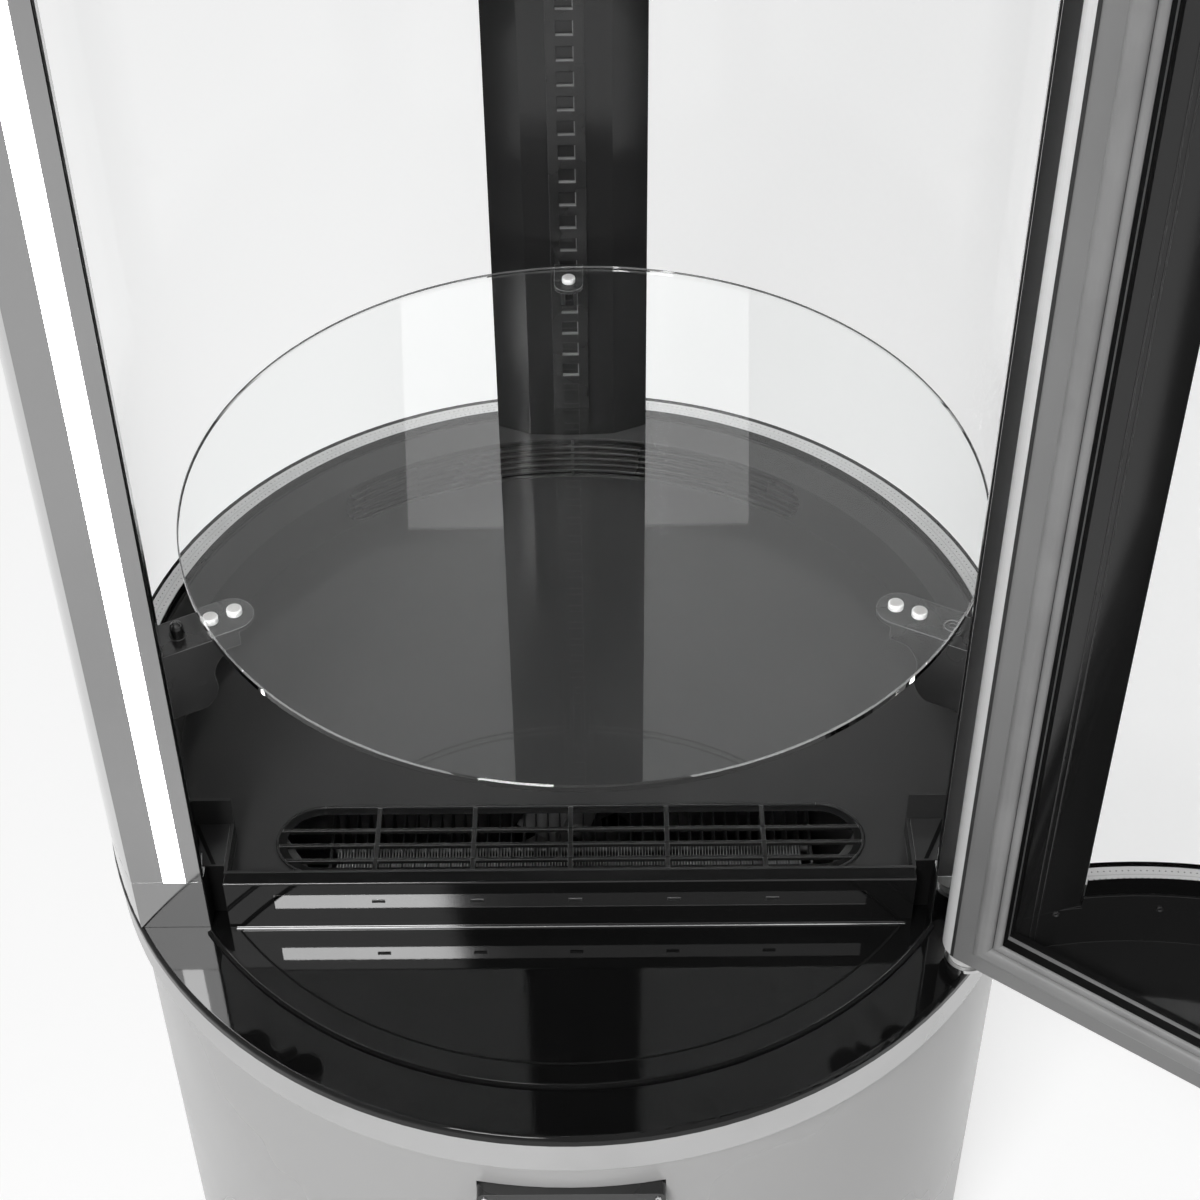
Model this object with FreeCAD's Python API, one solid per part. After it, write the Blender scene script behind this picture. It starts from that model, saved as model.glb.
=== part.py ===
import FreeCAD, Part
import math
import os

# Round refrigerated pastry display case. Millimetres, +Z up, origin on the floor under the body's axis.
# +Y is the back, where the slotted column stands, and the door opening faces -Y.

# Allowances
fit_gap = 0.3
close_gap = 0.1
running_gap = 0.05
cut_margin = 1.0
edge_tolerance = 0.1
far = 3000.0

# Body of the case
base_radius = 340.0
ledge_level = 520.0
ledge_thickness = 8.0
ledge_edge_round = 3.0
canopy_level = 1600.0
canopy_height = 120.0
canopy_wall = 3.0
canopy_edge_round = 14.0
ceiling_thickness = 4.0
lamp_radius = 120.0
lamp_flange = 6.0
lamp_depth = 6.0
lamp_edge_round = 2.0

# Machine base
plinth_inset = 40.0
plinth_height = 40.0
floor_thickness = 4.0
plinth_wall = 2.0
drum_inset = 9.0
drum_wall = 2.0
trim_height = 28.0
trim_inset = 1.0
bead_inset = 39.0
bead_width = 18.0
bead_height = 1.5
bead_back_gap = 3.0
panel_thickness = 2.0
panel_margin = 14.0
front_vent_half = 150.0
front_vent_low = 90.0
front_vent_high = 330.0
rear_vent_half = 130.0
rear_vent_low = 120.0
rear_vent_high = 400.0
vent_slot_pitch = 16.0
vent_slot_height = 7.0
vent_slot_inset = 12.0

# Door opening: sill, corner blocks and posts
sill_face = -167.0
sill_depth = 10.0
sill_end_notch = 14.0
sill_height = 46.6
sill_edge_round = 1.5
strip_end_gap = 33.0
strip_low = 21.0
strip_high = 34.6
strip_thickness = 1.4
strip_set_back = 0.2
clip_count = 5
clip_pitch = 67.0
clip_shift = 3.7
clip_width = 9.0
clip_height = 2.5
clip_proud = 0.4
post_face = -165.0
post_width = 48.0
post_back_y = -112.0
post_knee_in = 4.0
post_knee_y = -138.0
post_glass_depth = 36.0
notch_depth = 15.0
block_inner_gap = 1.0
led_inset = 11.5
led_width = 14.4
led_depth = 6.0
led_proud = 0.4

# Deck pan with its grille and louvre
deck_height = 30.0
pan_rim_width = 18.0
pan_wall = 2.0
pan_wall_height = 70.0
pan_rim_height = 80.0
louvre_half_angle = 39.5
louvre_low = 32.0
louvre_high = 68.0
louvre_slats = 5
louvre_ribs = 3
louvre_rib_pitch = 26.0
louvre_rib_width = 2.0
slat_thickness = 2.0
slat_proud = 2.0
grille_end_gap = 29.0
grille_width = 64.0
grille_centre_y = -114.0
grille_frame = 5.0
grille_bead = 2.0
grille_bead_round = 1.2
grille_depth = 4.0
grille_bar_drop = 1.0
grille_bars = 3
grille_bar_pitch = 16.0
grille_bar_width = 3.0
grille_ribs = 5
grille_rib_pitch = 67.5
grille_rib_width = 4.0

# Curved double glazing
glass_thickness = 4.0
glass_space = 14.0
inner_lip = 2.0
outer_lip = 4.0
curb_height = 69.7
inner_lip_height = 10.0
outer_lip_height = 6.0
spacer_width = 14.0
rear_joint = 1.0
head_height = 12.0
head_groove = 6.5

# Column, rail and shelves
column_stand_off = 3.0
column_face_half = 34.0
column_half = 60.0
column_bevel = 5.0
column_wall = 1.5
column_side_depth = 8.5
rail_half = 14.0
rail_thickness = 2.0
rail_low = 100.0
rail_hole_first = 138.0
rail_hole_pitch = 20.0
rail_hole_width = 13.0
rail_hole_height = 12.0
rail_top_margin = 30.0
shelf_clearance = 15.0
shelf_thickness = 6.0
shelf_edge = 1.0
shelf_places = ((250.0, 12.0), (750.0, 0.0))
bumper_radius = 5.0
bumper_height = 4.0
bumper_round = 1.0
arm_root_y = 139.5
arm_reach = 45.5
arm_half_width = 15.0
arm_plate = 3.0
arm_flange_height = 14.0
arm_gusset_depth = 54.0
arm_gusset_in = 20.0
arm_gusset_run = 18.0
arm_root_out = 30.0
arm_curve_along = 0.75
arm_curve_down = 0.16
arm_bumper_insets = (33.3, 17.3)
arm_screw_out = 5.0
screw_head_radius = 5.0
screw_head_height = 6.0
screw_socket_radius = 2.2
screw_socket_depth = 3.0
rear_bumper_inset = 11.0
rear_arm_reach = 40.0
rear_arm_half_width = 11.0
rear_arm_round = 10.0
rear_cheek_height = 40.0
rear_cheek_reach = 28.0
rear_cheek_thickness = 3.0
rear_cheek_half = 6.3

# Door, drawn closed and then swung open about its pins
door_open_angle = 143.4
door_axis_inset = 27.6
door_half_thickness = 17.0
door_end_gap = 14.5
stile_width = 50.0
rail_width = 44.5
door_lip = 8.0
rear_stile_width = 31.0
rear_rail_width = 16.5
door_jamb_depth = 10.3
door_deck_height = 34.0
door_head_depth = 20.0
door_head_lip = 6.5
door_spacer_width = 16.7
gasket_depth = 12.0
gasket_gap = 0.5
gasket_web = 4.0
outer_lobe_width = 13.0
outer_lobe_round = 5.0
inner_lobe_width = 6.0
inner_lobe_height = 9.0
inner_lobe_round = 2.5
handle_radius = 8.0
handle_round = 2.0
handle_length = 420.0
handle_standoff = 34.0
handle_post_radius = 6.0
handle_post_inset = 40.0
handle_post_sunk = 1.0
handle_turn = 3.7
handle_level = 1060.0
lug_radius = 15.0
lug_thickness = 3.0
pin_radius = 4.0
pin_length = 37.0
bush_flange_radius = 12.0
bush_sleeve_radius = 8.0
bush_sleeve_length = 26.0

# Cooling unit
well_inset = 35.0
well_front = -150.0
well_wall = 24.0
well_front_wall = 8.0
well_bottom = 372.0
well_flange = 7.0
well_flange_thickness = 3.0
fin_thickness = 0.8
coil_tube_radius = 4.5
coil_tube_rows = 4
coil_end_plate = 2.0
evaporator_front_gap = 20.0
evaporator_side_gap = 20.0
evaporator_shroud_gap = 14.0
shroud_side_gap = 8.8
shroud_top_gap = 8.0
condenser_half = 115.0
condenser_inset = 45.0
condenser_shroud_gap = 2.0
evaporator_size = dict(depth=60.0, low=420.0, height=108.0, pitch=8.5)
condenser_size = dict(depth=40.0, low=62.0, height=190.0, pitch=9.0)
condenser_fan_size = dict(level=158.0, plate=4.0, collar=20.0, tip=84.0, hub=20.0, depth=12.0,
                          chord=34.0, blades=5, motor=32.0, motor_length=52.0, top=264.0)
evaporator_fan_size = dict(level=470.0, plate=3.0, collar=16.0, tip=44.0, hub=13.0, depth=9.0,
                           chord=24.0, blades=5, motor=22.0, motor_length=38.0)
fan_tip_gap = 4.0
fan_pitch_angle = 22.0
fan_blade_thickness = 1.8
fan_blade_root = 0.6
fan_shaft_radius = 4.0
fan_shaft_end = 2.0
fan_arms = 3
fan_arm_width = 8.0
fan_arm_thickness = 4.0
collar_wall = 2.5
compressor_side_inset = 170.0
compressor_back_inset = 175.0
compressor_radius = 75.0
compressor_body = 190.0
compressor_top_round = 38.0
compressor_foot_round = 18.0
compressor_plate_x = 190.0
compressor_plate_y = 126.0
compressor_plate = 3.0
terminal_size = 42.0
terminal_level = 120.0
mount_radius = 12.0
mount_height = 20.0
mount_inset = 16.0
line_radius = 5.0
line_bend = 22.0
suction_x = 100.0
suction_y = 40.0
suction_level = 300.0
suction_offset = 20.0
liquid_level = 214.0
discharge_level = 143.0
discharge_reach = 60.0
discharge_side = 45.0
discharge_drop = 130.0
drier_radius = 13.0
drier_round = 8.0
drier_low = 262.0
drier_length = 80.0
drier_x = 185.0
drier_y = -60.0

# Condensate tray, drawn out at the back through the plinth
tray_x = 80.0
tray_half = 60.0
tray_front = 100.0
tray_height = 26.0
tray_wall = 2.0
tray_slot_gap = 2.0
tray_face_overlap = 6.0
tray_face_thickness = 2.0
tray_face_top = 3.0

# Controls on the front of the drum and mains inlet at the back
control_level = 426.0
control_half = 62.0
control_half_height = 26.0
control_proud = 5.0
control_depth = 44.0
control_corner = 5.0
button_x = (32.0, 49.0)
button_radius = 5.0
button_round = 1.0
button_proud = 1.5
button_length = 8.0
button_pocket = 8.5
display_left = -26.0
display_right = 20.0
display_half_height = 9.0
display_depth = 2.0
switch_x = -43.0
switch_half_width = 5.7
switch_half_height = 10.0
switch_behind = 3.0
switch_ahead = 3.5
switch_pivot_depth = 4.0
switch_pocket = 9.5
switch_end_gap = 1.2
switch_tilt = 8.0
switch_pin_radius = 1.2
inlet_x = -80.0
inlet_level = 75.0
inlet_half_width = 24.0
inlet_half_height = 14.0
inlet_length = 30.0
inlet_sunk = 1.0
inlet_wall = 4.0
inlet_pins = 3
inlet_pin_radius = 2.0
inlet_pin_pitch = 10.0
inlet_pin_length = 16.0

# Levels and places worked out from the values above
drum_radius = base_radius - drum_inset
drum_inner = drum_radius - drum_wall
drum_top = ledge_level - ledge_thickness
skin_radius = drum_radius + fit_gap
plinth_radius = base_radius - plinth_inset
bead_outer_radius = base_radius - bead_inset
bead_inner_radius = bead_outer_radius - bead_width
canopy_top = canopy_level + canopy_height
post_arc_radius = base_radius - trim_inset
post_outer_x = math.sqrt(post_arc_radius ** 2 - post_face ** 2)
post_rear_x = math.sqrt(post_arc_radius ** 2 - post_back_y ** 2)
post_inner_x = post_outer_x - post_width
post_knee_x = post_inner_x + post_knee_in
post_glass_x = post_rear_x - post_glass_depth
led_inner_x = post_inner_x + led_inset
sill_half = post_inner_x - sill_end_notch
sill_top = ledge_level + sill_height
sill_back = sill_face + sill_depth
strip_half = sill_half - strip_end_gap
strip_face = sill_face + strip_set_back
strip_back = strip_face + strip_thickness
block_inner_x = sill_half + block_inner_gap
notch_y = post_face + notch_depth
curb_outer_radius = drum_radius
glass_outer_radius = curb_outer_radius - outer_lip
spacer_outer_radius = glass_outer_radius - glass_thickness
spacer_inner_radius = spacer_outer_radius - glass_space
glass_inner_radius = spacer_inner_radius - glass_thickness
curb_inner_radius = glass_inner_radius - inner_lip
curb_top = ledge_level + curb_height
head_level = canopy_level - head_height + head_groove
glass_low = curb_top + fit_gap
glass_high = head_level - fit_gap
deck_top = ledge_level + deck_height
pan_radius = curb_inner_radius - pan_rim_width
pan_rim_radius = curb_inner_radius - fit_gap
pan_bottom = deck_top - pan_wall
pan_wall_top = ledge_level + pan_wall_height
pan_front = sill_back + fit_gap + pan_wall
pan_corner_x = block_inner_x - fit_gap - pan_wall
pan_corner_y = post_back_y + fit_gap + pan_wall
grille_length = 2 * (sill_half - grille_end_gap)
louvre_middle = ledge_level + (louvre_low + louvre_high) / 2
louvre_half_height = (louvre_high - louvre_low) / 2
column_front = pan_radius + column_stand_off
rail_face = column_front - rail_thickness
shelf_radius = pan_radius - shelf_clearance
arm_end_radius = shelf_radius - arm_reach
arm_gusset_start = shelf_radius - arm_gusset_in
arm_gusset_end = arm_gusset_start + arm_gusset_run
arm_root_radius = shelf_radius + arm_root_out
arm_screw_radius = shelf_radius + arm_screw_out
arm_bumper_radii = [shelf_radius - inset for inset in arm_bumper_insets]
arm_angle = math.degrees(math.asin(arm_root_y / arm_root_radius))
rear_bumper_y = shelf_radius - rear_bumper_inset
door_axis_x = post_outer_x - door_axis_inset
door_inner_face = sill_face - gasket_gap - gasket_depth
door_axis_y = door_inner_face - door_half_thickness
door_outer_face = door_axis_y - door_half_thickness
door_low = ledge_level + door_end_gap
door_high = canopy_level - door_end_gap
door_right = door_axis_x + door_half_thickness
door_left = -door_right
door_lip_back = door_inner_face - door_lip
shell_face = door_lip_back - fit_gap
shell_side = door_right - rear_stile_width - fit_gap
shell_rise = rear_rail_width + fit_gap
door_deck = ledge_level + door_deck_height
door_head = door_high - door_head_depth
door_glass_high = door_head - fit_gap
jamb_slope = math.asin((door_jamb_depth - door_outer_face) / glass_inner_radius)
handle_angle = math.degrees(jamb_slope) - handle_turn
well_radius = pan_radius - well_inset
well_floor = well_bottom + well_wall
well_inner_radius = well_radius - well_wall
evaporator_front = well_front + well_front_wall + evaporator_front_gap
evaporator_half = math.sqrt(well_inner_radius ** 2 - evaporator_front ** 2) - evaporator_side_gap
evaporator_size.update(front=evaporator_front, half=evaporator_half)
shroud_face = evaporator_front + evaporator_size["depth"] + evaporator_shroud_gap
shroud_half = math.sqrt(well_inner_radius ** 2 - shroud_face ** 2) - shroud_side_gap
evaporator_fan_size.update(face=shroud_face, half=shroud_half, top=pan_bottom - shroud_top_gap)
condenser_front = condenser_inset - plinth_radius
condenser_middle = condenser_front + condenser_size["depth"] / 2
condenser_size.update(front=condenser_front, half=condenser_half)
condenser_rear = condenser_front + condenser_size["depth"]
condenser_fan_size.update(face=condenser_rear + condenser_shroud_gap, half=condenser_half)
compressor_x = compressor_side_inset - plinth_radius
compressor_y = plinth_radius - compressor_back_inset
compressor_low = floor_thickness + mount_height
compressor_foot = compressor_low + compressor_plate
compressor_top = compressor_foot + compressor_body
tray_low = floor_thickness + fit_gap
tray_high = tray_low + tray_height
control_front = -drum_radius - control_proud
switch_pivot_y = control_front + switch_pivot_depth
inlet_outer_y = drum_radius - inlet_sunk
inlet_inner_y = inlet_outer_y - inlet_length

pieces = {}


def point(x, y, z):
    return FreeCAD.Vector(x, y, z)


origin = point(0, 0, 0)
up = point(0, 0, 1)
back = point(0, 1, 0)
across = point(1, 0, 0)


def box(x0, x1, y0, y1, z0, z1):
    return Part.makeBox(x1 - x0, y1 - y0, z1 - z0, point(x0, y0, z0))


def disc(radius, z0, z1, x=0.0, y=0.0):
    return Part.makeCylinder(radius, z1 - z0, point(x, y, z0))


def ring(inner, outer, z0, z1):
    return disc(outer, z0, z1).cut(disc(inner, z0 - cut_margin, z1 + cut_margin))


def rod(radius, y0, y1, x, z):
    return Part.makeCylinder(radius, y1 - y0, point(x, y0, z), back)


def fuse(shapes):
    return shapes[0].multiFuse(shapes[1:]).removeSplitter()


def group(shapes):
    return Part.makeCompound(shapes)


def face_of(corners):
    return Part.Face(Part.makePolygon(corners + corners[:1]))


def behind(y):
    return box(-far, far, y, far, -far, far)


def in_front(y):
    return box(-far, far, -far, y, -far, far)


def beside(side, gap):
    if side > 0:
        return box(gap, far, -far, far, -far, far)
    return box(-far, -gap, -far, far, -far, far)


def mirrored(shape):
    return shape.mirror(origin, across)


def centred(count, pitch, middle=0.0):
    return [middle + (i - (count - 1) / 2) * pitch for i in range(count)]


def edges_above(shape, level):
    return [e for e in shape.Edges if e.BoundBox.ZMin > level - edge_tolerance]


def edges_below(shape, level):
    return [e for e in shape.Edges if e.BoundBox.ZMax < level + edge_tolerance]


def end_edges(shape):
    return [e for e in shape.Edges if e.BoundBox.ZLength < edge_tolerance]


def d_shape(radius, front, z0, z1):
    return disc(radius, z0, z1).common(behind(front))


def stadium(length, width, z0, z1, y):
    half = (length - width) / 2
    core = box(-half, half, y - width / 2, y + width / 2, z0, z1)
    return fuse([core, disc(width / 2, z0, z1, -half, y), disc(width / 2, z0, z1, half, y)])


def save(name, shape):
    pieces[name] = shape
    shape.exportStep("parts/%s.step" % name)


# Floor pan, drum, panels and ledge
def tray_slot():
    return box(tray_x - tray_half - tray_slot_gap, tray_x + tray_half + tray_slot_gap, 0, far,
               floor_thickness, tray_high + tray_slot_gap)


def floor_pan():
    floor = disc(plinth_radius, 0, floor_thickness)
    wall = ring(plinth_radius - plinth_wall, plinth_radius, floor_thickness, plinth_height)
    flange = ring(plinth_radius - plinth_wall, drum_radius, plinth_height - plinth_wall, plinth_height)
    return fuse([floor, wall, flange]).cut(tray_slot())


def control_block(grow):
    return box(-control_half - grow, control_half + grow, control_front, control_front + control_depth,
               control_level - control_half_height - grow, control_level + control_half_height + grow)


def inlet_block(grow):
    half_width = inlet_half_width + grow
    half_height = inlet_half_height + grow
    return box(inlet_x - half_width, inlet_x + half_width, inlet_inner_y, inlet_outer_y,
               inlet_level - half_height, inlet_level + half_height)


def base_drum():
    shell = ring(drum_inner, drum_radius, plinth_height, drum_top)
    front_vent = box(-front_vent_half, front_vent_half, -far, 0, front_vent_low, front_vent_high)
    rear_vent = box(-rear_vent_half, rear_vent_half, 0, far, rear_vent_low, rear_vent_high)
    return shell.cut([front_vent, rear_vent, control_block(fit_gap), inlet_block(fit_gap)])


def vent_panel(half, low, high, y0, y1):
    edge = half + panel_margin
    skin = ring(skin_radius, skin_radius + panel_thickness, low - panel_margin, high + panel_margin)
    skin = skin.common(box(-edge, edge, y0, y1, 0, ledge_level))
    count = int((high - low - 2 * vent_slot_inset) // vent_slot_pitch)
    reach = half - vent_slot_inset
    slots = [box(-reach, reach, y0, y1, z - vent_slot_height / 2, z + vent_slot_height / 2)
             for z in centred(count, vent_slot_pitch, (low + high) / 2)]
    return skin.cut(slots)


def ledge_trim():
    return ring(skin_radius, base_radius - trim_inset, drum_top - trim_height, drum_top)


def base_top():
    plate = disc(base_radius, drum_top, ledge_level)
    plate = plate.makeFillet(ledge_edge_round, edges_above(plate, ledge_level))
    hole = d_shape(well_radius + fit_gap, well_front - fit_gap, drum_top - cut_margin,
                   ledge_level + cut_margin)
    bead = ring(bead_inner_radius, bead_outer_radius, ledge_level, ledge_level + bead_height)
    return fuse([plate.cut(hole), bead.common(in_front(sill_face - bead_back_gap))])


# Posts either side of the opening, drawn for the right and mirrored for the left
def jamb(inner_corners, z0, z1):
    first = math.atan2(post_face, post_outer_x)
    last = math.atan2(post_back_y, post_rear_x)
    middle = (first + last) / 2
    front = point(post_outer_x, post_face, z0)
    bulge = point(post_arc_radius * math.cos(middle), post_arc_radius * math.sin(middle), z0)
    rear = point(post_rear_x, post_back_y, z0)
    run = [rear] + [point(x, y, z0) for x, y in inner_corners] + [front]
    edges = [Part.Arc(front, bulge, rear).toShape()]
    edges += [Part.LineSegment(a, b).toShape() for a, b in zip(run, run[1:])]
    return Part.Face(Part.Wire(edges)).extrude(up * (z1 - z0))


def led_strip(gap, proud):
    return box(led_inner_x - gap, led_inner_x + led_width + gap, post_face - proud,
               post_face + led_depth + gap, sill_top, canopy_level)


def right_post():
    corners = ((post_glass_x, post_back_y), (post_knee_x, post_knee_y), (post_inner_x, post_face))
    return jamb(corners, sill_top, canopy_level).cut(led_strip(close_gap, cut_margin))


def right_corner_block():
    corners = ((block_inner_x, post_back_y), (block_inner_x, notch_y), (post_inner_x, notch_y),
               (post_inner_x, post_face))
    return jamb(corners, ledge_level, sill_top)


def sill():
    bar = box(-sill_half, sill_half, sill_face, sill_back, ledge_level, sill_top)
    long_edges = [e for e in edges_above(bar, sill_top) if e.BoundBox.XLength > sill_half]
    pocket = box(-strip_half - close_gap, strip_half + close_gap, sill_face - cut_margin, strip_back,
                 ledge_level + strip_low - close_gap, ledge_level + strip_high + close_gap)
    return bar.makeFillet(sill_edge_round, long_edges).cut(pocket)


def ticket_strip():
    return box(-strip_half, strip_half, strip_face, strip_back, ledge_level + strip_low,
               ledge_level + strip_high)


def strip_clips():
    low = ledge_level + (strip_low + strip_high - clip_height) / 2
    return group([box(x - clip_width / 2, x + clip_width / 2, strip_face - clip_proud, strip_face,
                      low, low + clip_height) for x in centred(clip_count, clip_pitch, clip_shift)])


# Deck pan with its air louvre and intake grille
def pan_body(grow, z0, z1):
    corner = box(pan_corner_x + grow, far, -far, pan_corner_y - grow, z0, z1)
    return d_shape(pan_radius + grow, pan_front - grow, z0, z1).cut([corner, mirrored(corner)])


def pan_rim():
    section = [(pan_radius, pan_wall_height), (pan_radius, pan_wall_height - pan_wall),
               (pan_rim_radius, pan_rim_height - pan_wall), (pan_rim_radius, pan_rim_height)]
    rim = face_of([point(r, 0, ledge_level + z) for r, z in section]).revolve(origin, up, 360)
    return rim.common(behind(pan_corner_y - pan_wall))


def wall_window(inner, outer):
    end_angle = louvre_half_angle - math.degrees(louvre_half_height / pan_radius)
    low = louvre_middle - louvre_half_height
    high = louvre_middle + louvre_half_height
    band = Part.makeCylinder(outer, high - low, point(0, 0, low), up, 2 * end_angle)
    band.rotate(origin, up, 90 - end_angle)
    ends = []
    for angle in (90 - end_angle, 90 + end_angle):
        way = point(math.cos(math.radians(angle)), math.sin(math.radians(angle)), 0)
        ends.append(Part.makeCylinder(louvre_half_height, far, point(0, 0, louvre_middle), way))
    return fuse([band] + ends).common(ring(inner, outer, low, high))


def column_body(shrink, z0, z1):
    front = column_front + shrink
    half = column_half - shrink
    shoulder = front + column_bevel
    side_back = column_front + column_side_depth - shrink
    corners = [(-column_face_half, front), (column_face_half, front), (half, shoulder), (half, side_back),
               (column_face_half, far), (-column_face_half, far), (-half, side_back), (-half, shoulder)]
    body = face_of([point(x, y, z0) for x, y in corners]).extrude(up * (z1 - z0))
    return body.common(disc(pan_rim_radius - max(shrink, 0), z0, z1))


def deck_pan():
    tub = pan_body(pan_wall, pan_bottom, pan_wall_top)
    tub = tub.cut(pan_body(0, deck_top, pan_wall_top + cut_margin))
    front_edge = in_front(pan_corner_y - pan_wall).common(box(-far, far, -far, far, sill_top, canopy_level))
    hole = stadium(grille_length - 2 * grille_frame, grille_width - 2 * grille_frame,
                   pan_bottom - cut_margin, deck_top + cut_margin, grille_centre_y)
    window = wall_window(pan_radius - cut_margin, pan_radius + pan_wall + cut_margin)
    column_gap = column_body(-fit_gap, ledge_level, canopy_level)
    return fuse([tub.cut([front_edge, hole]), pan_rim()]).cut([window, column_gap])


def air_louvre():
    inner = pan_radius - slat_proud
    outer = pan_radius + pan_wall
    shapes = []
    for z in centred(louvre_slats, 2 * louvre_half_height / (louvre_slats + 1), louvre_middle):
        off_middle = abs(z - louvre_middle) + slat_thickness / 2
        round_part = louvre_half_height - math.sqrt(louvre_half_height ** 2 - off_middle ** 2)
        half_angle = louvre_half_angle - math.degrees((round_part + close_gap) / pan_radius)
        low = z - slat_thickness / 2
        slat = Part.makeCylinder(outer, slat_thickness, point(0, 0, low), up, 2 * half_angle)
        slat.rotate(origin, up, 90 - half_angle)
        shapes.append(slat.cut(disc(inner, low - cut_margin, low + slat_thickness + cut_margin)))
    low = louvre_middle - louvre_half_height + close_gap
    high = louvre_middle + louvre_half_height - close_gap
    for angle in centred(louvre_ribs, louvre_rib_pitch):
        rib = box(-louvre_rib_width / 2, louvre_rib_width / 2, 0, far, low, high)
        rib = rib.common(ring(pan_radius, outer - close_gap, low, high))
        rib.rotate(origin, up, angle)
        shapes.append(rib)
    return fuse(shapes)


def intake_grille():
    top = deck_top + grille_bead
    low = top - grille_depth
    bar_top = top - grille_bar_drop
    y = grille_centre_y
    neck_length = grille_length - 2 * (grille_frame + close_gap)
    neck_width = grille_width - 2 * (grille_frame + close_gap)
    bezel = stadium(grille_length, grille_width, deck_top, top, y)
    bezel = bezel.makeFillet(grille_bead_round, edges_above(bezel, top))
    neck = stadium(neck_length, neck_width, low, deck_top, y)
    opening = stadium(neck_length - 2 * grille_bead, neck_width - 2 * grille_bead, low - cut_margin,
                      top + cut_margin, y)
    bars = [box(-neck_length, neck_length, b - grille_bar_width / 2, b + grille_bar_width / 2, low, bar_top)
            for b in centred(grille_bars, grille_bar_pitch, y)]
    ribs = [box(x - grille_rib_width / 2, x + grille_rib_width / 2, y - neck_width, y + neck_width,
                low, bar_top) for x in centred(grille_ribs, grille_rib_pitch)]
    lattice = fuse(bars + ribs).common(stadium(neck_length, neck_width, low, top, y))
    return fuse([bezel.fuse(neck).cut(opening), lattice])


# Curved double glazing, one unit each side of the column, in channels at foot and head
def glass_lips(low, high_inner, high_outer):
    return [ring(curb_inner_radius, glass_inner_radius - close_gap, low, high_inner),
            ring(glass_outer_radius + close_gap, curb_outer_radius, low, high_outer)]


def glass_channel(body, lip_low, lip_high_inner, lip_high_outer):
    channel = fuse([body] + glass_lips(lip_low, lip_high_inner, lip_high_outer))
    return channel.common(behind(post_back_y + fit_gap))


def lower_glass_channel():
    curb = ring(curb_inner_radius, curb_outer_radius, ledge_level, curb_top)
    return glass_channel(curb, curb_top, curb_top + inner_lip_height, curb_top + outer_lip_height)


def upper_glass_channel():
    head = ring(curb_inner_radius, curb_outer_radius, head_level, canopy_level)
    return glass_channel(head, canopy_level - head_height, head_level, head_level)


def glass_sector(inner, outer, z0, z1, side, inset):
    end = behind(post_back_y + fit_gap + inset)
    return ring(inner, outer, z0, z1).common(end).common(beside(side, rear_joint / 2 + inset))


def side_glass(side):
    return group([glass_sector(glass_inner_radius, spacer_inner_radius, glass_low, glass_high, side, 0),
                  glass_sector(spacer_outer_radius, glass_outer_radius, glass_low, glass_high, side, 0)])


def glass_spacer(side):
    inner = spacer_inner_radius + close_gap
    outer = spacer_outer_radius - close_gap
    window = glass_sector(inner - cut_margin, outer + cut_margin, glass_low + spacer_width,
                          glass_high - spacer_width, side, spacer_width)
    return glass_sector(inner, outer, glass_low, glass_high, side, 0).cut(window)


# Column and slotted rail
def rear_column():
    hollow = column_body(column_wall, ledge_level - cut_margin, canopy_level + cut_margin)
    return column_body(0, ledge_level, canopy_level).cut(hollow)


def column_rail():
    strip = box(-rail_half, rail_half, rail_face, column_front, ledge_level + rail_low, canopy_level)
    first = ledge_level + rail_hole_first
    count = int((canopy_level - rail_top_margin - first) // rail_hole_pitch)
    holes = [box(-rail_hole_width / 2, rail_hole_width / 2, rail_face - cut_margin, column_front + cut_margin,
                 first + i * rail_hole_pitch - rail_hole_height / 2,
                 first + i * rail_hole_pitch + rail_hole_height / 2) for i in range(count)]
    return strip.cut(holes)


# Shelves and the brackets that carry them
def shelf(top, shift):
    plate = disc(shelf_radius, ledge_level + top - shelf_thickness, ledge_level + top, shift)
    return plate.makeChamfer(shelf_edge, end_edges(plate))


def arm_level(top):
    return ledge_level + top - shelf_thickness - bumper_height


def arm_flange(offset, thickness, level):
    low = level - arm_flange_height
    deep = level - arm_gusset_depth
    half_run = (arm_gusset_end - arm_gusset_start) / 2
    drop = low - deep
    start = arm_end_radius + arm_half_width
    first = point(arm_gusset_start, offset, low)
    upper = point(arm_gusset_start + half_run * arm_curve_along, offset, low - drop * arm_curve_down)
    bend = point(arm_gusset_start + half_run, offset, (low + deep) / 2)
    lower = point(arm_gusset_end - half_run * arm_curve_along, offset, deep + drop * arm_curve_down)
    last = point(arm_gusset_end, offset, deep)
    run = [last, point(arm_root_radius, offset, deep), point(arm_root_radius, offset, level),
           point(start, offset, level), point(start, offset, low), first]
    edges = [Part.Arc(first, upper, bend).toShape(), Part.Arc(bend, lower, last).toShape()]
    edges += [Part.LineSegment(a, b).toShape() for a, b in zip(run, run[1:])]
    return Part.Face(Part.Wire(edges)).extrude(point(0, thickness, 0))


def right_arm(top):
    level = arm_level(top)
    under = level - arm_plate
    nose = arm_end_radius + arm_half_width
    screw_floor = level - screw_head_height
    plate = box(nose, arm_root_radius, -arm_half_width, arm_half_width, under, level)
    tip = disc(arm_half_width, under, level, nose)
    seat = disc(screw_head_radius + arm_plate, screw_floor - arm_plate, level, arm_screw_radius)
    flanges = [arm_flange(-arm_half_width, arm_plate, level), arm_flange(arm_half_width, -arm_plate, level)]
    screw_well = disc(screw_head_radius + fit_gap, screw_floor, level + cut_margin, arm_screw_radius)
    arm = fuse([plate, tip, seat] + flanges).cut(screw_well)
    arm.rotate(origin, up, -arm_angle)
    return arm.cut(right_post())


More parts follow.
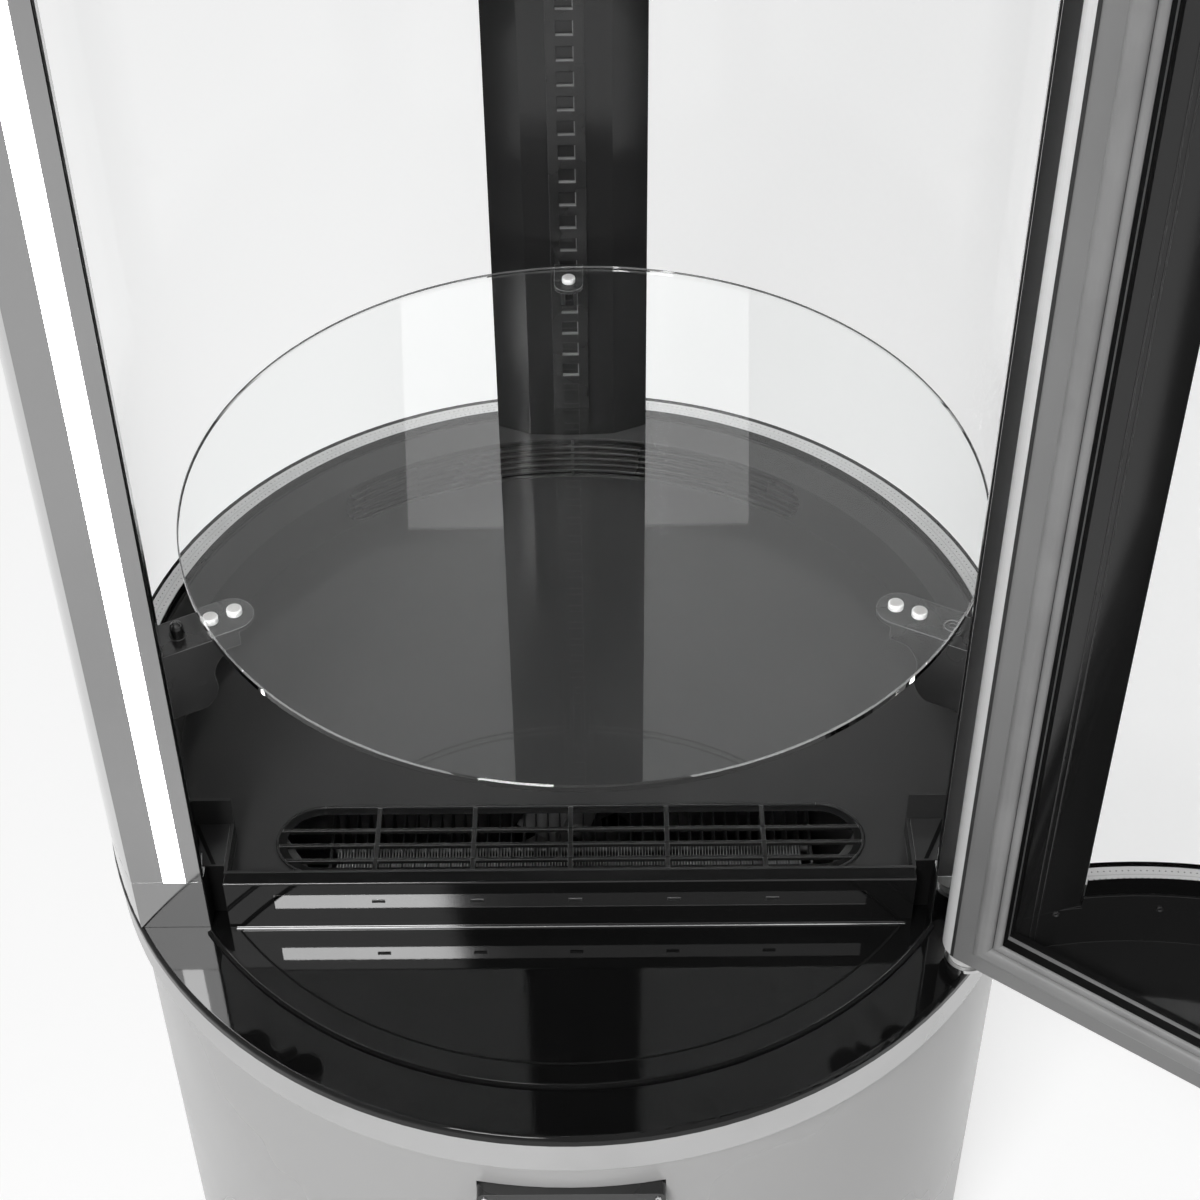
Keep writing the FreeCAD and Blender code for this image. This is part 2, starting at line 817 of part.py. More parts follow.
def arm_screw(top):
    level = arm_level(top)
    head = disc(screw_head_radius, level - screw_head_height, level, arm_screw_radius)
    socket = disc(screw_socket_radius, level - screw_socket_depth, level + cut_margin, arm_screw_radius)
    head = head.cut(socket)
    head.rotate(origin, up, -arm_angle)
    return head


def rear_bracket(top):
    level = arm_level(top)
    under = level - arm_plate
    tip = rail_face - rear_arm_reach
    plate = box(-rear_arm_half_width, rear_arm_half_width, tip, rail_face, under, level)
    upright = [e for e in plate.Edges if e.BoundBox.ZLength > edge_tolerance]
    tip_edges = [e for e in upright if e.BoundBox.YMax < tip + edge_tolerance]
    shapes = [plate.makeFillet(rear_arm_round, tip_edges)]
    for x in (-rear_cheek_half, rear_cheek_half - rear_cheek_thickness):
        corners = [point(x, rail_face, under), point(x, rail_face - rear_cheek_reach, under),
                   point(x, rail_face, level - rear_cheek_height)]
        shapes.append(face_of(corners).extrude(across * rear_cheek_thickness))
    return fuse(shapes)


def bumper(radius, angle, top):
    level = arm_level(top)
    stud = disc(bumper_radius, level, level + bumper_height, radius)
    stud = stud.makeFillet(bumper_round, edges_above(stud, level + bumper_height))
    stud.rotate(origin, up, angle)
    return stud


def shelf_bumpers():
    studs = []
    for top, shift in shelf_places:
        studs.append(bumper(rear_bumper_y, 90, top))
        for radius in arm_bumper_radii:
            studs += [bumper(radius, -arm_angle, top), bumper(radius, 180 + arm_angle, top)]
    return group(studs)


# Canopy
def canopy_shell():
    body = disc(base_radius, canopy_level, canopy_top)
    body = body.makeFillet(canopy_edge_round, edges_above(body, canopy_top))
    inner_top = canopy_top - canopy_wall
    hollow = disc(base_radius - canopy_wall, canopy_level - cut_margin, inner_top)
    hollow = hollow.makeFillet(canopy_edge_round - canopy_wall, edges_above(hollow, inner_top))
    return body.cut(hollow)


def canopy_ceiling():
    top = canopy_level + ceiling_thickness
    plate = disc(base_radius - canopy_wall - close_gap, canopy_level, top)
    return plate.cut(disc(lamp_radius + close_gap, canopy_level - cut_margin, top + cut_margin))


def canopy_lamp():
    low = canopy_level - lamp_depth
    flange = disc(lamp_radius + lamp_flange, low, canopy_level)
    flange = flange.makeFillet(lamp_edge_round, edges_below(flange, low))
    return fuse([flange, disc(lamp_radius, canopy_level, canopy_level + ceiling_thickness)])


# Cooling unit
def cold_well():
    body = d_shape(well_radius, well_front, well_bottom, pan_bottom)
    flange = d_shape(well_radius + well_flange, well_front - well_flange + cut_margin, ledge_level,
                     ledge_level + well_flange_thickness)
    hollow = d_shape(well_inner_radius, well_front + well_front_wall, well_floor, pan_bottom + cut_margin)
    return fuse([body, flange]).cut(hollow)


def fin_coil(half, front, depth, low, height, pitch, foot):
    top = low + height
    rear = front + depth
    count = int(2 * (half - coil_end_plate) // pitch)
    shapes = [box(x - fin_thickness / 2, x + fin_thickness / 2, front, rear, low, top)
              for x in centred(count, pitch)]
    shapes.append(box(-half, coil_end_plate - half, front, rear, foot, top))
    shapes.append(box(half - coil_end_plate, half, front, rear, foot, top))
    for z in centred(coil_tube_rows, height / coil_tube_rows, low + height / 2):
        start = point(-half, front + depth / 2, z)
        shapes.append(Part.makeCylinder(coil_tube_radius, 2 * half, start, across))
    return fuse(shapes)


def fan_shroud(size, low):
    hole = size["tip"] + fan_tip_gap
    rear = size["face"] + size["plate"]
    rim = rear + size["collar"]
    plate = box(-size["half"], size["half"], size["face"], rear, low, size["top"])
    collar = rod(hole + collar_wall, rear, rim, 0, size["level"])
    return fuse([plate, collar]).cut(rod(hole, size["face"] - cut_margin, rim + cut_margin, 0, size["level"]))


def fan_middle(size):
    return size["face"] + size["plate"] + size["collar"] / 2


def fan_motor(size):
    rim = size["face"] + size["plate"] + size["collar"]
    arm_back = rim + fan_arm_thickness
    reach = size["tip"] + fan_tip_gap + collar_wall
    shaft_end = fan_middle(size) - size["depth"] / 2 - fan_shaft_end
    shapes = [rod(size["motor"], rim, arm_back + size["motor_length"], 0, size["level"]),
              rod(fan_shaft_radius, shaft_end, rim, 0, size["level"])]
    for i in range(fan_arms):
        arm = box(0, reach, rim, arm_back, -fan_arm_width / 2, fan_arm_width / 2)
        arm.rotate(origin, back, 90 + 360 * i / fan_arms)
        arm.translate(point(0, 0, size["level"]))
        shapes.append(arm)
    return fuse(shapes)


def fan_wheel(size):
    middle = fan_middle(size)
    low = middle - size["depth"] / 2
    high = middle + size["depth"] / 2
    shapes = [rod(size["hub"], low, high, 0, size["level"])]
    for i in range(size["blades"]):
        blade = box(size["hub"] * fan_blade_root, size["tip"], -fan_blade_thickness / 2,
                    fan_blade_thickness / 2, -size["chord"] / 2, size["chord"] / 2)
        blade.rotate(origin, across, fan_pitch_angle)
        blade.rotate(origin, back, 360 * i / size["blades"])
        blade.translate(point(0, middle, size["level"]))
        shapes.append(blade)
    bore = rod(fan_shaft_radius + running_gap, low - far, high + far, 0, size["level"])
    return fuse(shapes).common(rod(size["tip"], low - far, high + far, 0, size["level"])).cut(bore)


def compressor():
    pot = disc(compressor_radius, compressor_foot, compressor_top, compressor_x, compressor_y)
    pot = pot.makeFillet(compressor_top_round, edges_above(pot, compressor_top))
    pot = pot.makeFillet(compressor_foot_round, edges_below(pot, compressor_foot))
    plate = box(compressor_x - compressor_plate_x / 2, compressor_x + compressor_plate_x / 2,
                compressor_y - compressor_plate_y / 2, compressor_y + compressor_plate_y / 2,
                compressor_low, compressor_foot)
    side = compressor_x + compressor_radius
    terminal = box(side - terminal_size / 2, side + terminal_size / 2, compressor_y - terminal_size / 2,
                   compressor_y + terminal_size / 2, terminal_level, terminal_level + terminal_size)
    return fuse([pot, plate, terminal])


def compressor_mounts():
    dx = compressor_plate_x / 2 - mount_inset
    dy = compressor_plate_y / 2 - mount_inset
    places = [(compressor_x + sx * dx, compressor_y + sy * dy) for sx in (-1, 1) for sy in (-1, 1)]
    return group([disc(mount_radius, floor_thickness, compressor_low, x, y) for x, y in places])


def tube(route):
    legs = []
    start = route[0]
    for before, corner, after in zip(route, route[1:], route[2:]):
        into = (corner - before).normalize()
        out = (after - corner).normalize()
        half_turn = into.getAngle(out) / 2
        first = corner - into * (line_bend * math.tan(half_turn))
        last = corner + out * (line_bend * math.tan(half_turn))
        middle = corner + (out - into).normalize() * (line_bend / math.cos(half_turn) - line_bend)
        legs += [Part.LineSegment(start, first).toShape(), Part.Arc(first, middle, last).toShape()]
        start = last
    legs.append(Part.LineSegment(start, route[-1]).toShape())
    section = Part.Wire(Part.makeCircle(line_radius, route[0], (route[1] - route[0]).normalize()))
    return Part.Wire(legs).makePipeShell([section], True, False)


def refrigerant_lines():
    half = condenser_size["half"]
    into_pot = compressor_x + suction_offset
    suction = [point(suction_x, suction_y, well_bottom), point(suction_x, suction_y, suction_level),
               point(into_pot, compressor_y, suction_level), point(into_pot, compressor_y, compressor_top)]
    liquid = [point(half, condenser_middle, liquid_level), point(drier_x, condenser_middle, liquid_level),
              point(drier_x, drier_y, liquid_level), point(drier_x, drier_y, drier_low)]
    capillary = [point(drier_x, drier_y, drier_low + drier_length), point(drier_x, drier_y, well_bottom)]
    pot_front = compressor_y - compressor_radius
    outer_x = compressor_x - discharge_side
    discharge = [point(compressor_x, pot_front, discharge_level),
                 point(compressor_x, pot_front - discharge_reach, discharge_level),
                 point(outer_x, pot_front - discharge_drop, discharge_level),
                 point(outer_x, condenser_middle, discharge_level),
                 point(-half, condenser_middle, discharge_level)]
    return group([tube(route) for route in (suction, liquid, capillary, discharge)])


def filter_drier():
    body = disc(drier_radius, drier_low, drier_low + drier_length, drier_x, drier_y)
    return body.makeFillet(drier_round, end_edges(body))


def condensate_tray():
    left = tray_x - tray_half
    right = tray_x + tray_half
    face_radius = plinth_radius + fit_gap
    body = box(left, right, tray_front, far, tray_low, tray_high)
    body = body.common(disc(face_radius, tray_low, tray_high))
    hollow = box(left + tray_wall, right - tray_wall, tray_front + tray_wall, far, tray_low + tray_wall, far)
    hollow = hollow.common(disc(plinth_radius - tray_wall, 0, far))
    face = ring(face_radius, face_radius + tray_face_thickness, tray_low, tray_high + tray_face_top)
    face = face.common(box(left - tray_face_overlap, right + tray_face_overlap, 0, far, 0, far))
    return fuse([body.cut(hollow), face])


# Controls and mains inlet
def control_panel():
    shell = control_block(0)
    shell = shell.makeFillet(control_corner, [e for e in shell.Edges if e.BoundBox.YLength > edge_tolerance])
    window = box(display_left, display_right, control_front - cut_margin, control_front + display_depth,
                 control_level - display_half_height, control_level + display_half_height)
    half_width = switch_half_width + fit_gap
    half_height = switch_half_height + switch_end_gap
    pocket = box(switch_x - half_width, switch_x + half_width, control_front - cut_margin,
                 control_front + switch_pocket, control_level - half_height, control_level + half_height)
    holes = [rod(button_radius + fit_gap, control_front - cut_margin, control_front + button_pocket, x,
                 control_level) for x in button_x]
    pin = Part.makeCylinder(switch_pin_radius, 2 * half_width,
                            point(switch_x - half_width, switch_pivot_y, control_level), across)
    return fuse([shell.cut([window, pocket] + holes), pin])


def control_display():
    half_height = display_half_height - close_gap
    return box(display_left + close_gap, display_right - close_gap, control_front,
               control_front + display_depth, control_level - half_height, control_level + half_height)


def button(x):
    front = control_front - button_proud
    body = rod(button_radius, front, front + button_length, x, control_level)
    return body.makeFillet(button_round, [e for e in body.Edges if e.BoundBox.YMax < front + edge_tolerance])


def power_switch():
    rocker = box(switch_x - switch_half_width, switch_x + switch_half_width, switch_pivot_y - switch_ahead,
                 switch_pivot_y + switch_behind, control_level - switch_half_height,
                 control_level + switch_half_height)
    bore_start = point(-far / 2, switch_pivot_y, control_level)
    rocker = rocker.cut(Part.makeCylinder(switch_pin_radius + running_gap, far, bore_start, across))
    rocker.rotate(point(switch_x, switch_pivot_y, control_level), across, -switch_tilt)
    return rocker


def mains_inlet():
    floor = inlet_inner_y + inlet_wall
    cavity = box(inlet_x - inlet_half_width + inlet_wall, inlet_x + inlet_half_width - inlet_wall, floor, far,
                 inlet_level - inlet_half_height + inlet_wall, inlet_level + inlet_half_height - inlet_wall)
    pins = [rod(inlet_pin_radius, floor, floor + inlet_pin_length, x, inlet_level)
            for x in centred(inlet_pins, inlet_pin_pitch, inlet_x)]
    return fuse([inlet_block(0).cut(cavity)] + pins)


# Hinges: a lug with its pin at each end, and a white bush in the door
def axis_disc(radius, level_a, level_b):
    return disc(radius, min(level_a, level_b), max(level_a, level_b), door_axis_x, door_axis_y)


def hinge_bracket(level, way):
    lug_end = level + way * lug_thickness
    pin = axis_disc(pin_radius, lug_end, lug_end + way * pin_length)
    return fuse([axis_disc(lug_radius, level, lug_end), pin])


def hinge_bush(level, way, door_edge):
    flange = axis_disc(bush_flange_radius, level + way * (lug_thickness + fit_gap), door_edge)
    sleeve = axis_disc(bush_sleeve_radius, door_edge, door_edge + way * bush_sleeve_length)
    return fuse([flange, sleeve]).cut(axis_disc(pin_radius + running_gap, 0, far))


# Door
def door_slab(side_inset, end_inset, y0, y1):
    return box(door_left + side_inset, door_right - side_inset, y0, y1,
               door_low + end_inset, door_high - end_inset)


def door_ring(outer, inner, y0, y1):
    hole = door_slab(stile_width - inner, rail_width - inner, y0 - cut_margin, y1 + cut_margin)
    return door_slab(stile_width - outer, rail_width - outer, y0, y1).cut(hole)


# Bowed front of the door, which carries on the round of the side glass when the door is shut
def bow(radius, z0, z1):
    return disc(radius, z0, z1).common(in_front(door_outer_face))


def between_jambs(shape, inset):
    apex = point(0, -inset / math.cos(jamb_slope), -far)
    side = far / math.tan(jamb_slope)
    wedge = face_of([apex, apex + point(side, -far, 0), apex + point(-side, -far, 0)])
    return shape.common(wedge.extrude(up * 2 * far))


def right_jamb(z0, z1):
    start = -math.asin(-door_outer_face / curb_outer_radius)
    middle = (start - jamb_slope) / 2

    def on_arc(radius, angle):
        return point(radius * math.cos(angle), radius * math.sin(angle), z0)

    outer = on_arc(curb_outer_radius, start)
    nose = on_arc(curb_outer_radius, -jamb_slope)
    inner = on_arc(glass_inner_radius, -jamb_slope)
    lip = point(door_right - stile_width, shell_face, z0)
    corner = point(shell_side, shell_face, z0)
    heel = point(shell_side, door_outer_face, z0)
    run = [nose, inner, lip, corner, heel, outer]
    edges = [Part.Arc(outer, on_arc(curb_outer_radius, middle), nose).toShape()]
    edges += [Part.LineSegment(a, b).toShape() for a, b in zip(run, run[1:])]
    return Part.Face(Part.Wire(edges)).extrude(up * (z1 - z0))


def tongue(z0, z1):
    return box(-shell_side, shell_side, door_outer_face, shell_face, z0, z1)


def door_foot():
    hollow = disc(curb_inner_radius, door_deck, curb_top + cut_margin).common(in_front(shell_face))
    ends = right_jamb(door_deck, curb_top + cut_margin)
    body = fuse([bow(curb_outer_radius, door_low, curb_top), tongue(door_low + shell_rise, curb_top)])
    body = body.cut(hollow.cut([ends, mirrored(ends)]))
    lips = glass_lips(curb_top, curb_top + inner_lip_height, curb_top + outer_lip_height)
    return fuse([body] + [between_jambs(lip, close_gap) for lip in lips])


def door_cap():
    body = fuse([bow(curb_outer_radius, door_head, door_high), tongue(door_head, door_high - shell_rise)])
    lips = glass_lips(door_head - door_head_lip, door_head, door_head)
    return fuse([body] + [between_jambs(lip, close_gap) for lip in lips])


def door_shell():
    post = right_jamb(curb_top, door_head)
    return group([door_foot(), door_cap(), post, mirrored(post)])


def bowed_pane(inner, outer):
    return between_jambs(ring(inner, outer, glass_low, door_glass_high), close_gap)


def door_glass():
    return group([bowed_pane(glass_inner_radius, spacer_inner_radius),
                  bowed_pane(spacer_outer_radius, glass_outer_radius)])


def mitred_blocks():
    ends = [(door_left - fit_gap, stile_width + fit_gap), (door_right + fit_gap, -stile_width - fit_gap)]
    levels = [(door_low - fit_gap, rail_width + fit_gap), (door_high + fit_gap, -rail_width - fit_gap)]
    (left, to_right), (right, to_left) = ends
    (low, rise), (high, fall) = levels
    outlines = [[(x, low + close_gap), (x + step, low + rise + close_gap),
                 (x + step, high + fall - close_gap), (x, high - close_gap)] for x, step in ends]
    outlines += [[(left, z), (right, z), (right + to_left, z + step), (left + to_right, z + step)]
                 for z, step in levels]
    depth = 2 * door_half_thickness + 2 * cut_margin
    return [face_of([point(x, door_outer_face - cut_margin, z) for x, z in outline]).extrude(back * depth)
            for outline in outlines]


def door_frame():
    slab = box(door_left, door_axis_x, door_outer_face, door_inner_face, door_low, door_high)
    edge = axis_disc(door_half_thickness, door_low, door_high)
    opening = door_slab(stile_width, rail_width, -far, far)
    hole_depth = pin_length + lug_thickness
    holes = [axis_disc(bush_sleeve_radius, door_low - cut_margin, door_low + hole_depth),
             axis_disc(bush_sleeve_radius, door_high - hole_depth, door_high + cut_margin)]
    pocket = door_slab(rear_stile_width, rear_rail_width, -far, door_lip_back)
    body = slab.fuse(edge).cut([opening, pocket] + holes)
    return group([body.common(block) for block in mitred_blocks()])


def door_spacer():
    inner = spacer_inner_radius + close_gap
    outer = spacer_outer_radius - close_gap
    bars = [ring(inner, outer, z, z + door_spacer_width)
            for z in (glass_low, door_glass_high - door_spacer_width)]
    return group([between_jambs(bar, close_gap) for bar in bars])


def gasket_lobe(outer, inner, height, radius):
    top = door_inner_face + height
    lobe = door_ring(outer, inner, door_inner_face, top)
    crown = [e for e in lobe.Edges if e.BoundBox.YMin > top - edge_tolerance]
    return lobe.makeFillet(radius, crown)


def door_gasket():
    width = outer_lobe_width + inner_lobe_width
    web = door_ring(width, 0, door_inner_face, door_inner_face + gasket_web)
    outer = gasket_lobe(width, inner_lobe_width, gasket_depth, outer_lobe_round)
    inner = gasket_lobe(inner_lobe_width, 0, inner_lobe_height, inner_lobe_round)
    return fuse([web, outer, inner])


def door_handle():
    reach = curb_outer_radius + handle_standoff
    low = handle_level - handle_length / 2
    high = handle_level + handle_length / 2
    bar = disc(handle_radius, low, high, reach)
    posts = [Part.makeCylinder(handle_post_radius, handle_standoff + handle_post_sunk,
                               point(curb_outer_radius - handle_post_sunk, 0, z), across)
             for z in (low + handle_post_inset, high - handle_post_inset)]
    posts = [rod_shape.cut(disc(curb_outer_radius, low, high)) for rod_shape in posts]
    handle = fuse([bar.makeFillet(handle_round, end_edges(bar))] + posts)
    handle.rotate(origin, up, 180 + handle_angle)
    return handle


def swung(shape):
    shape.rotate(point(door_axis_x, door_axis_y, 0), up, door_open_angle)
    return shape


def both_sides(shape):
    return group([mirrored(shape), shape])


os.makedirs("parts", exist_ok=True)
save("floor_pan", floor_pan())
save("base_drum", base_drum())
save("front_vent_panel", vent_panel(front_vent_half, front_vent_low, front_vent_high, -far, 0))
save("rear_vent_panel", vent_panel(rear_vent_half, rear_vent_low, rear_vent_high, 0, far))
save("ledge_trim", ledge_trim())
save("base_top", base_top())
save("lower_glass_channel", lower_glass_channel())
save("upper_glass_channel", upper_glass_channel())
save("corner_blocks", both_sides(right_corner_block()))
save("posts", both_sides(right_post()))
save("led_strips", both_sides(led_strip(0, led_proud)))
save("sill", sill())
save("ticket_strip", ticket_strip())
save("strip_clips", strip_clips())
save("deck_pan", deck_pan())
save("air_louvre", air_louvre())
save("intake_grille", intake_grille())
save("side_glass_left", side_glass(-1))
save("side_glass_right", side_glass(1))
save("glass_spacers", group([glass_spacer(-1), glass_spacer(1)]))
save("rear_column", rear_column())
save("column_rail", column_rail())
for name, (top, shift) in zip(("lower_shelf", "upper_shelf"), shelf_places):
    save(name, shelf(top, shift))
arms = [right_arm(top) for top, shift in shelf_places]
save("left_brackets", group([mirrored(arm) for arm in arms]))
save("right_brackets", group(arms))
save("rear_brackets", group([rear_bracket(top) for top, shift in shelf_places]))
save("shelf_bumpers", shelf_bumpers())
screws = [arm_screw(top) for top, shift in shelf_places]
save("bracket_screws", group(screws + [mirrored(screw) for screw in screws]))
save("canopy_shell", canopy_shell())
save("canopy_ceiling", canopy_ceiling())
save("canopy_lamp", canopy_lamp())
save("cold_well", cold_well())
save("evaporator", fin_coil(foot=well_floor, **evaporator_size))
save("condenser", fin_coil(foot=floor_thickness, **condenser_size))
for name, size, low in (("condenser_fan", condenser_fan_size, floor_thickness),
                        ("evaporator_fan", evaporator_fan_size, well_floor)):
    save(name + "_shroud", fan_shroud(size, low))
    save(name + "_motor", fan_motor(size))
    save(name, fan_wheel(size))
save("compressor", compressor())
save("compressor_mounts", compressor_mounts())
save("refrigerant_lines", refrigerant_lines())
save("filter_drier", filter_drier())
save("condensate_tray", condensate_tray())
save("control_panel", control_panel())
save("control_display", control_display())
save("button_down", button(button_x[0]))
save("button_up", button(button_x[1]))
save("power_switch", power_switch())
save("mains_inlet", mains_inlet())
save("hinge_brackets", group([hinge_bracket(ledge_level, 1), hinge_bracket(canopy_level, -1)]))
bushes = [hinge_bush(ledge_level, 1, door_low), hinge_bush(canopy_level, -1, door_high)]
save("hinge_bushes", swung(group(bushes)))
save("door_frame", swung(door_frame()))
save("door_shell", swung(door_shell()))
save("door_glass", swung(door_glass()))
save("door_spacer", swung(door_spacer()))
save("door_gasket", swung(door_gasket()))
save("door_handle", swung(door_handle()))

for name, shape in pieces.items():
    print("%-22s solids %2d valid %s volume %.0f" % (name, len(shape.Solids), shape.isValid(), shape.Volume))
print(len(pieces), "nodes")
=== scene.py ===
import math

import bmesh
import bpy
from mathutils import Matrix, Vector


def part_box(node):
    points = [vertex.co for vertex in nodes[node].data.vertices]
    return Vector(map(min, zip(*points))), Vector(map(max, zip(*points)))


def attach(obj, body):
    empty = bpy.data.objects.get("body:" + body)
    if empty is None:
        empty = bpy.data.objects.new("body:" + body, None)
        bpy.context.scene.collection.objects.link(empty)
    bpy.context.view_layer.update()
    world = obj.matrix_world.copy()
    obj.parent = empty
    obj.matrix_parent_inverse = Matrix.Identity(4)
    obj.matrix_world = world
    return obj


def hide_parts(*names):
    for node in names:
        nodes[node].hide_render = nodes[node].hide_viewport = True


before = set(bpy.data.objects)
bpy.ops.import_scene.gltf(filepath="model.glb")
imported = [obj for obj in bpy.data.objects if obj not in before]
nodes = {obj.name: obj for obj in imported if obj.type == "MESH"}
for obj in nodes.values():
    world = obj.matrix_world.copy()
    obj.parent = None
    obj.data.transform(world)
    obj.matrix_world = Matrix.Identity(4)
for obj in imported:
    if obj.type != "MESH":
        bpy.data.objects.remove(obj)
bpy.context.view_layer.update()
print("frame loaded:", len(nodes), "CAD nodes")

mm = 0.001
weldGap = 0.001 * mm  # points nearer than this are one
sharpAngle = 1.0  # edges folded by more than this many radians are rounded

# the door is drawn shut and swung to the angle it has in the picture
door = {"axisX": 268.535 * mm, "axisY": -196.5 * mm, "open": 143.4, "innerFace": -179.5 * mm,
        "openingX": 235.535 * mm, "openingLow": 579 * mm, "openingHigh": 1541 * mm, "low": 534.5 * mm,
        "high": 1585.5 * mm, "deck": 554 * mm, "head": 1565.5 * mm, "lip": (235.535 * mm, -187.8 * mm),
        "glassEdge": (207.2 * mm, -223.8 * mm)}
doorPin = Matrix.Translation((door["axisX"], door["axisY"], 0))
doorSwing = doorPin @ Matrix.Rotation(math.radians(door["open"]), 4, "Z") @ doorPin.inverted()
bowCentre = doorSwing @ Vector((0, 0, 0))  # middle of the door's bow once it is swung


# node helpers
def addNode(tree, kind, settings=None, inputs=None):
    made = tree.nodes.new("ShaderNode" + kind)
    for key, value in (settings or {}).items():
        setattr(made, key, value)
    for key, value in (inputs or {}).items():
        if isinstance(value, bpy.types.NodeSocket):
            tree.links.new(value, made.inputs[key])
        else:
            made.inputs[key].default_value = value
    return made


def addMath(tree, operation, first, second=None):
    made = addNode(tree, "Math", {"operation": operation}, {0: first})
    if second is not None:
        if isinstance(second, bpy.types.NodeSocket):
            tree.links.new(second, made.inputs[1])
        else:
            made.inputs[1].default_value = second
    return made.outputs[0]


def remap(tree, value, low, high, toLow=0.0, toHigh=1.0, smooth=False):
    kind = "SMOOTHSTEP" if smooth else "LINEAR"
    made = addNode(tree, "MapRange", {"interpolation_type": kind},
                   {"Value": value, "From Min": low, "From Max": high, "To Min": toLow, "To Max": toHigh})
    return made.outputs["Result"]


def mixColour(tree, factor, first, second):
    made = addNode(tree, "Mix", {"data_type": "RGBA"})
    for socket, value in ((made.inputs[0], factor), (made.inputs[6], first), (made.inputs[7], second)):
        if isinstance(value, bpy.types.NodeSocket):
            tree.links.new(value, socket)
        else:
            socket.default_value = value
    return made.outputs[2]


def grey(level, warm=0.0):
    return (level * (1 + warm), level, level * (1 - warm), 1)


def startGroup(name, inputs, outputs):
    tree = bpy.data.node_groups.new(name, "ShaderNodeTree")
    for title, kind, value in inputs:
        socket = tree.interface.new_socket(title, in_out="INPUT", socket_type="NodeSocket" + kind)
        socket.default_value = value
    for title, kind in outputs:
        tree.interface.new_socket(title, in_out="OUTPUT", socket_type="NodeSocket" + kind)
    entry = tree.nodes.new("NodeGroupInput")
    leave = tree.nodes.new("NodeGroupOutput")
    return tree, entry.outputs, leave.inputs


# cloudy film, fine grain and sparse dust, shared by most finishes
skinForm = {"filmDetail": 3.0, "filmRange": (0.32, 0.68), "grainDetail": 2.0, "dustEdge": (0.05, 0.1),
            "dustChosen": (0.93, 0.95)}


def makeSkinGroup():
    tree, given, result = startGroup(
        "surfaceSkin",
        [("Film Scale", "Float", 4.0), ("Grain Scale", "Float", 400.0), ("Dust Scale", "Float", 260.0),
         ("Stretch", "Vector", (1, 1, 1))],
        [("Film", "Float"), ("Grain", "Float"), ("Dust", "Float")])
    place = addNode(tree, "TexCoord").outputs["Object"]
    film = addNode(tree, "TexNoise", None, {"Vector": place, "Scale": given["Film Scale"],
                                           "Detail": skinForm["filmDetail"]})
    tree.links.new(remap(tree, film.outputs["Fac"], *skinForm["filmRange"], smooth=True), result["Film"])
    drawn = addNode(tree, "VectorMath", {"operation": "MULTIPLY"}, {0: place, 1: given["Stretch"]})
    grain = addNode(tree, "TexNoise", None, {"Vector": drawn.outputs[0], "Scale": given["Grain Scale"],
                                            "Detail": skinForm["grainDetail"]})
    tree.links.new(grain.outputs["Fac"], result["Grain"])
    cells = addNode(tree, "TexVoronoi", {"feature": "F1"}, {"Vector": place, "Scale": given["Dust Scale"]})
    spot = remap(tree, cells.outputs["Distance"], *skinForm["dustEdge"], 1.0, 0.0)
    chosen = addNode(tree, "SeparateColor", None, {"Color": cells.outputs["Color"]}).outputs[0]
    sparse = remap(tree, chosen, *skinForm["dustChosen"])
    tree.links.new(addMath(tree, "MULTIPLY", spot, sparse), result["Dust"])
    return tree


# rounded normals along the edges of folded and moulded pieces, and a mask there for a painted highlight
edgeForm = {"width": 0.6 * mm, "samples": 6, "turned": (0.98, 0.8)}


def makeEdgeGroup():
    tree, given, result = startGroup("edgeTouch", [("Width", "Float", edgeForm["width"])],
                                     [("Edge", "Float"), ("Normal", "Vector")])
    rounded = addNode(tree, "Bevel", {"samples": edgeForm["samples"]}, {"Radius": given["Width"]})
    flat = addNode(tree, "NewGeometry").outputs["Normal"]
    match = addNode(tree, "VectorMath", {"operation": "DOT_PRODUCT"}, {0: rounded.outputs[0], 1: flat})
    tree.links.new(remap(tree, match.outputs["Value"], *edgeForm["turned"]), result["Edge"])
    tree.links.new(rounded.outputs[0], result["Normal"])
    return tree


# two rows of fine holes round a curved spacer bar, one each side of its middle line
holeForm = {"radius": 316 * mm, "pitch": 4 * mm, "rowOff": 3.2 * mm, "holeEdge": (0.35 * mm, 0.6 * mm),
            "lineEdge": (0.2 * mm, 0.5 * mm)}


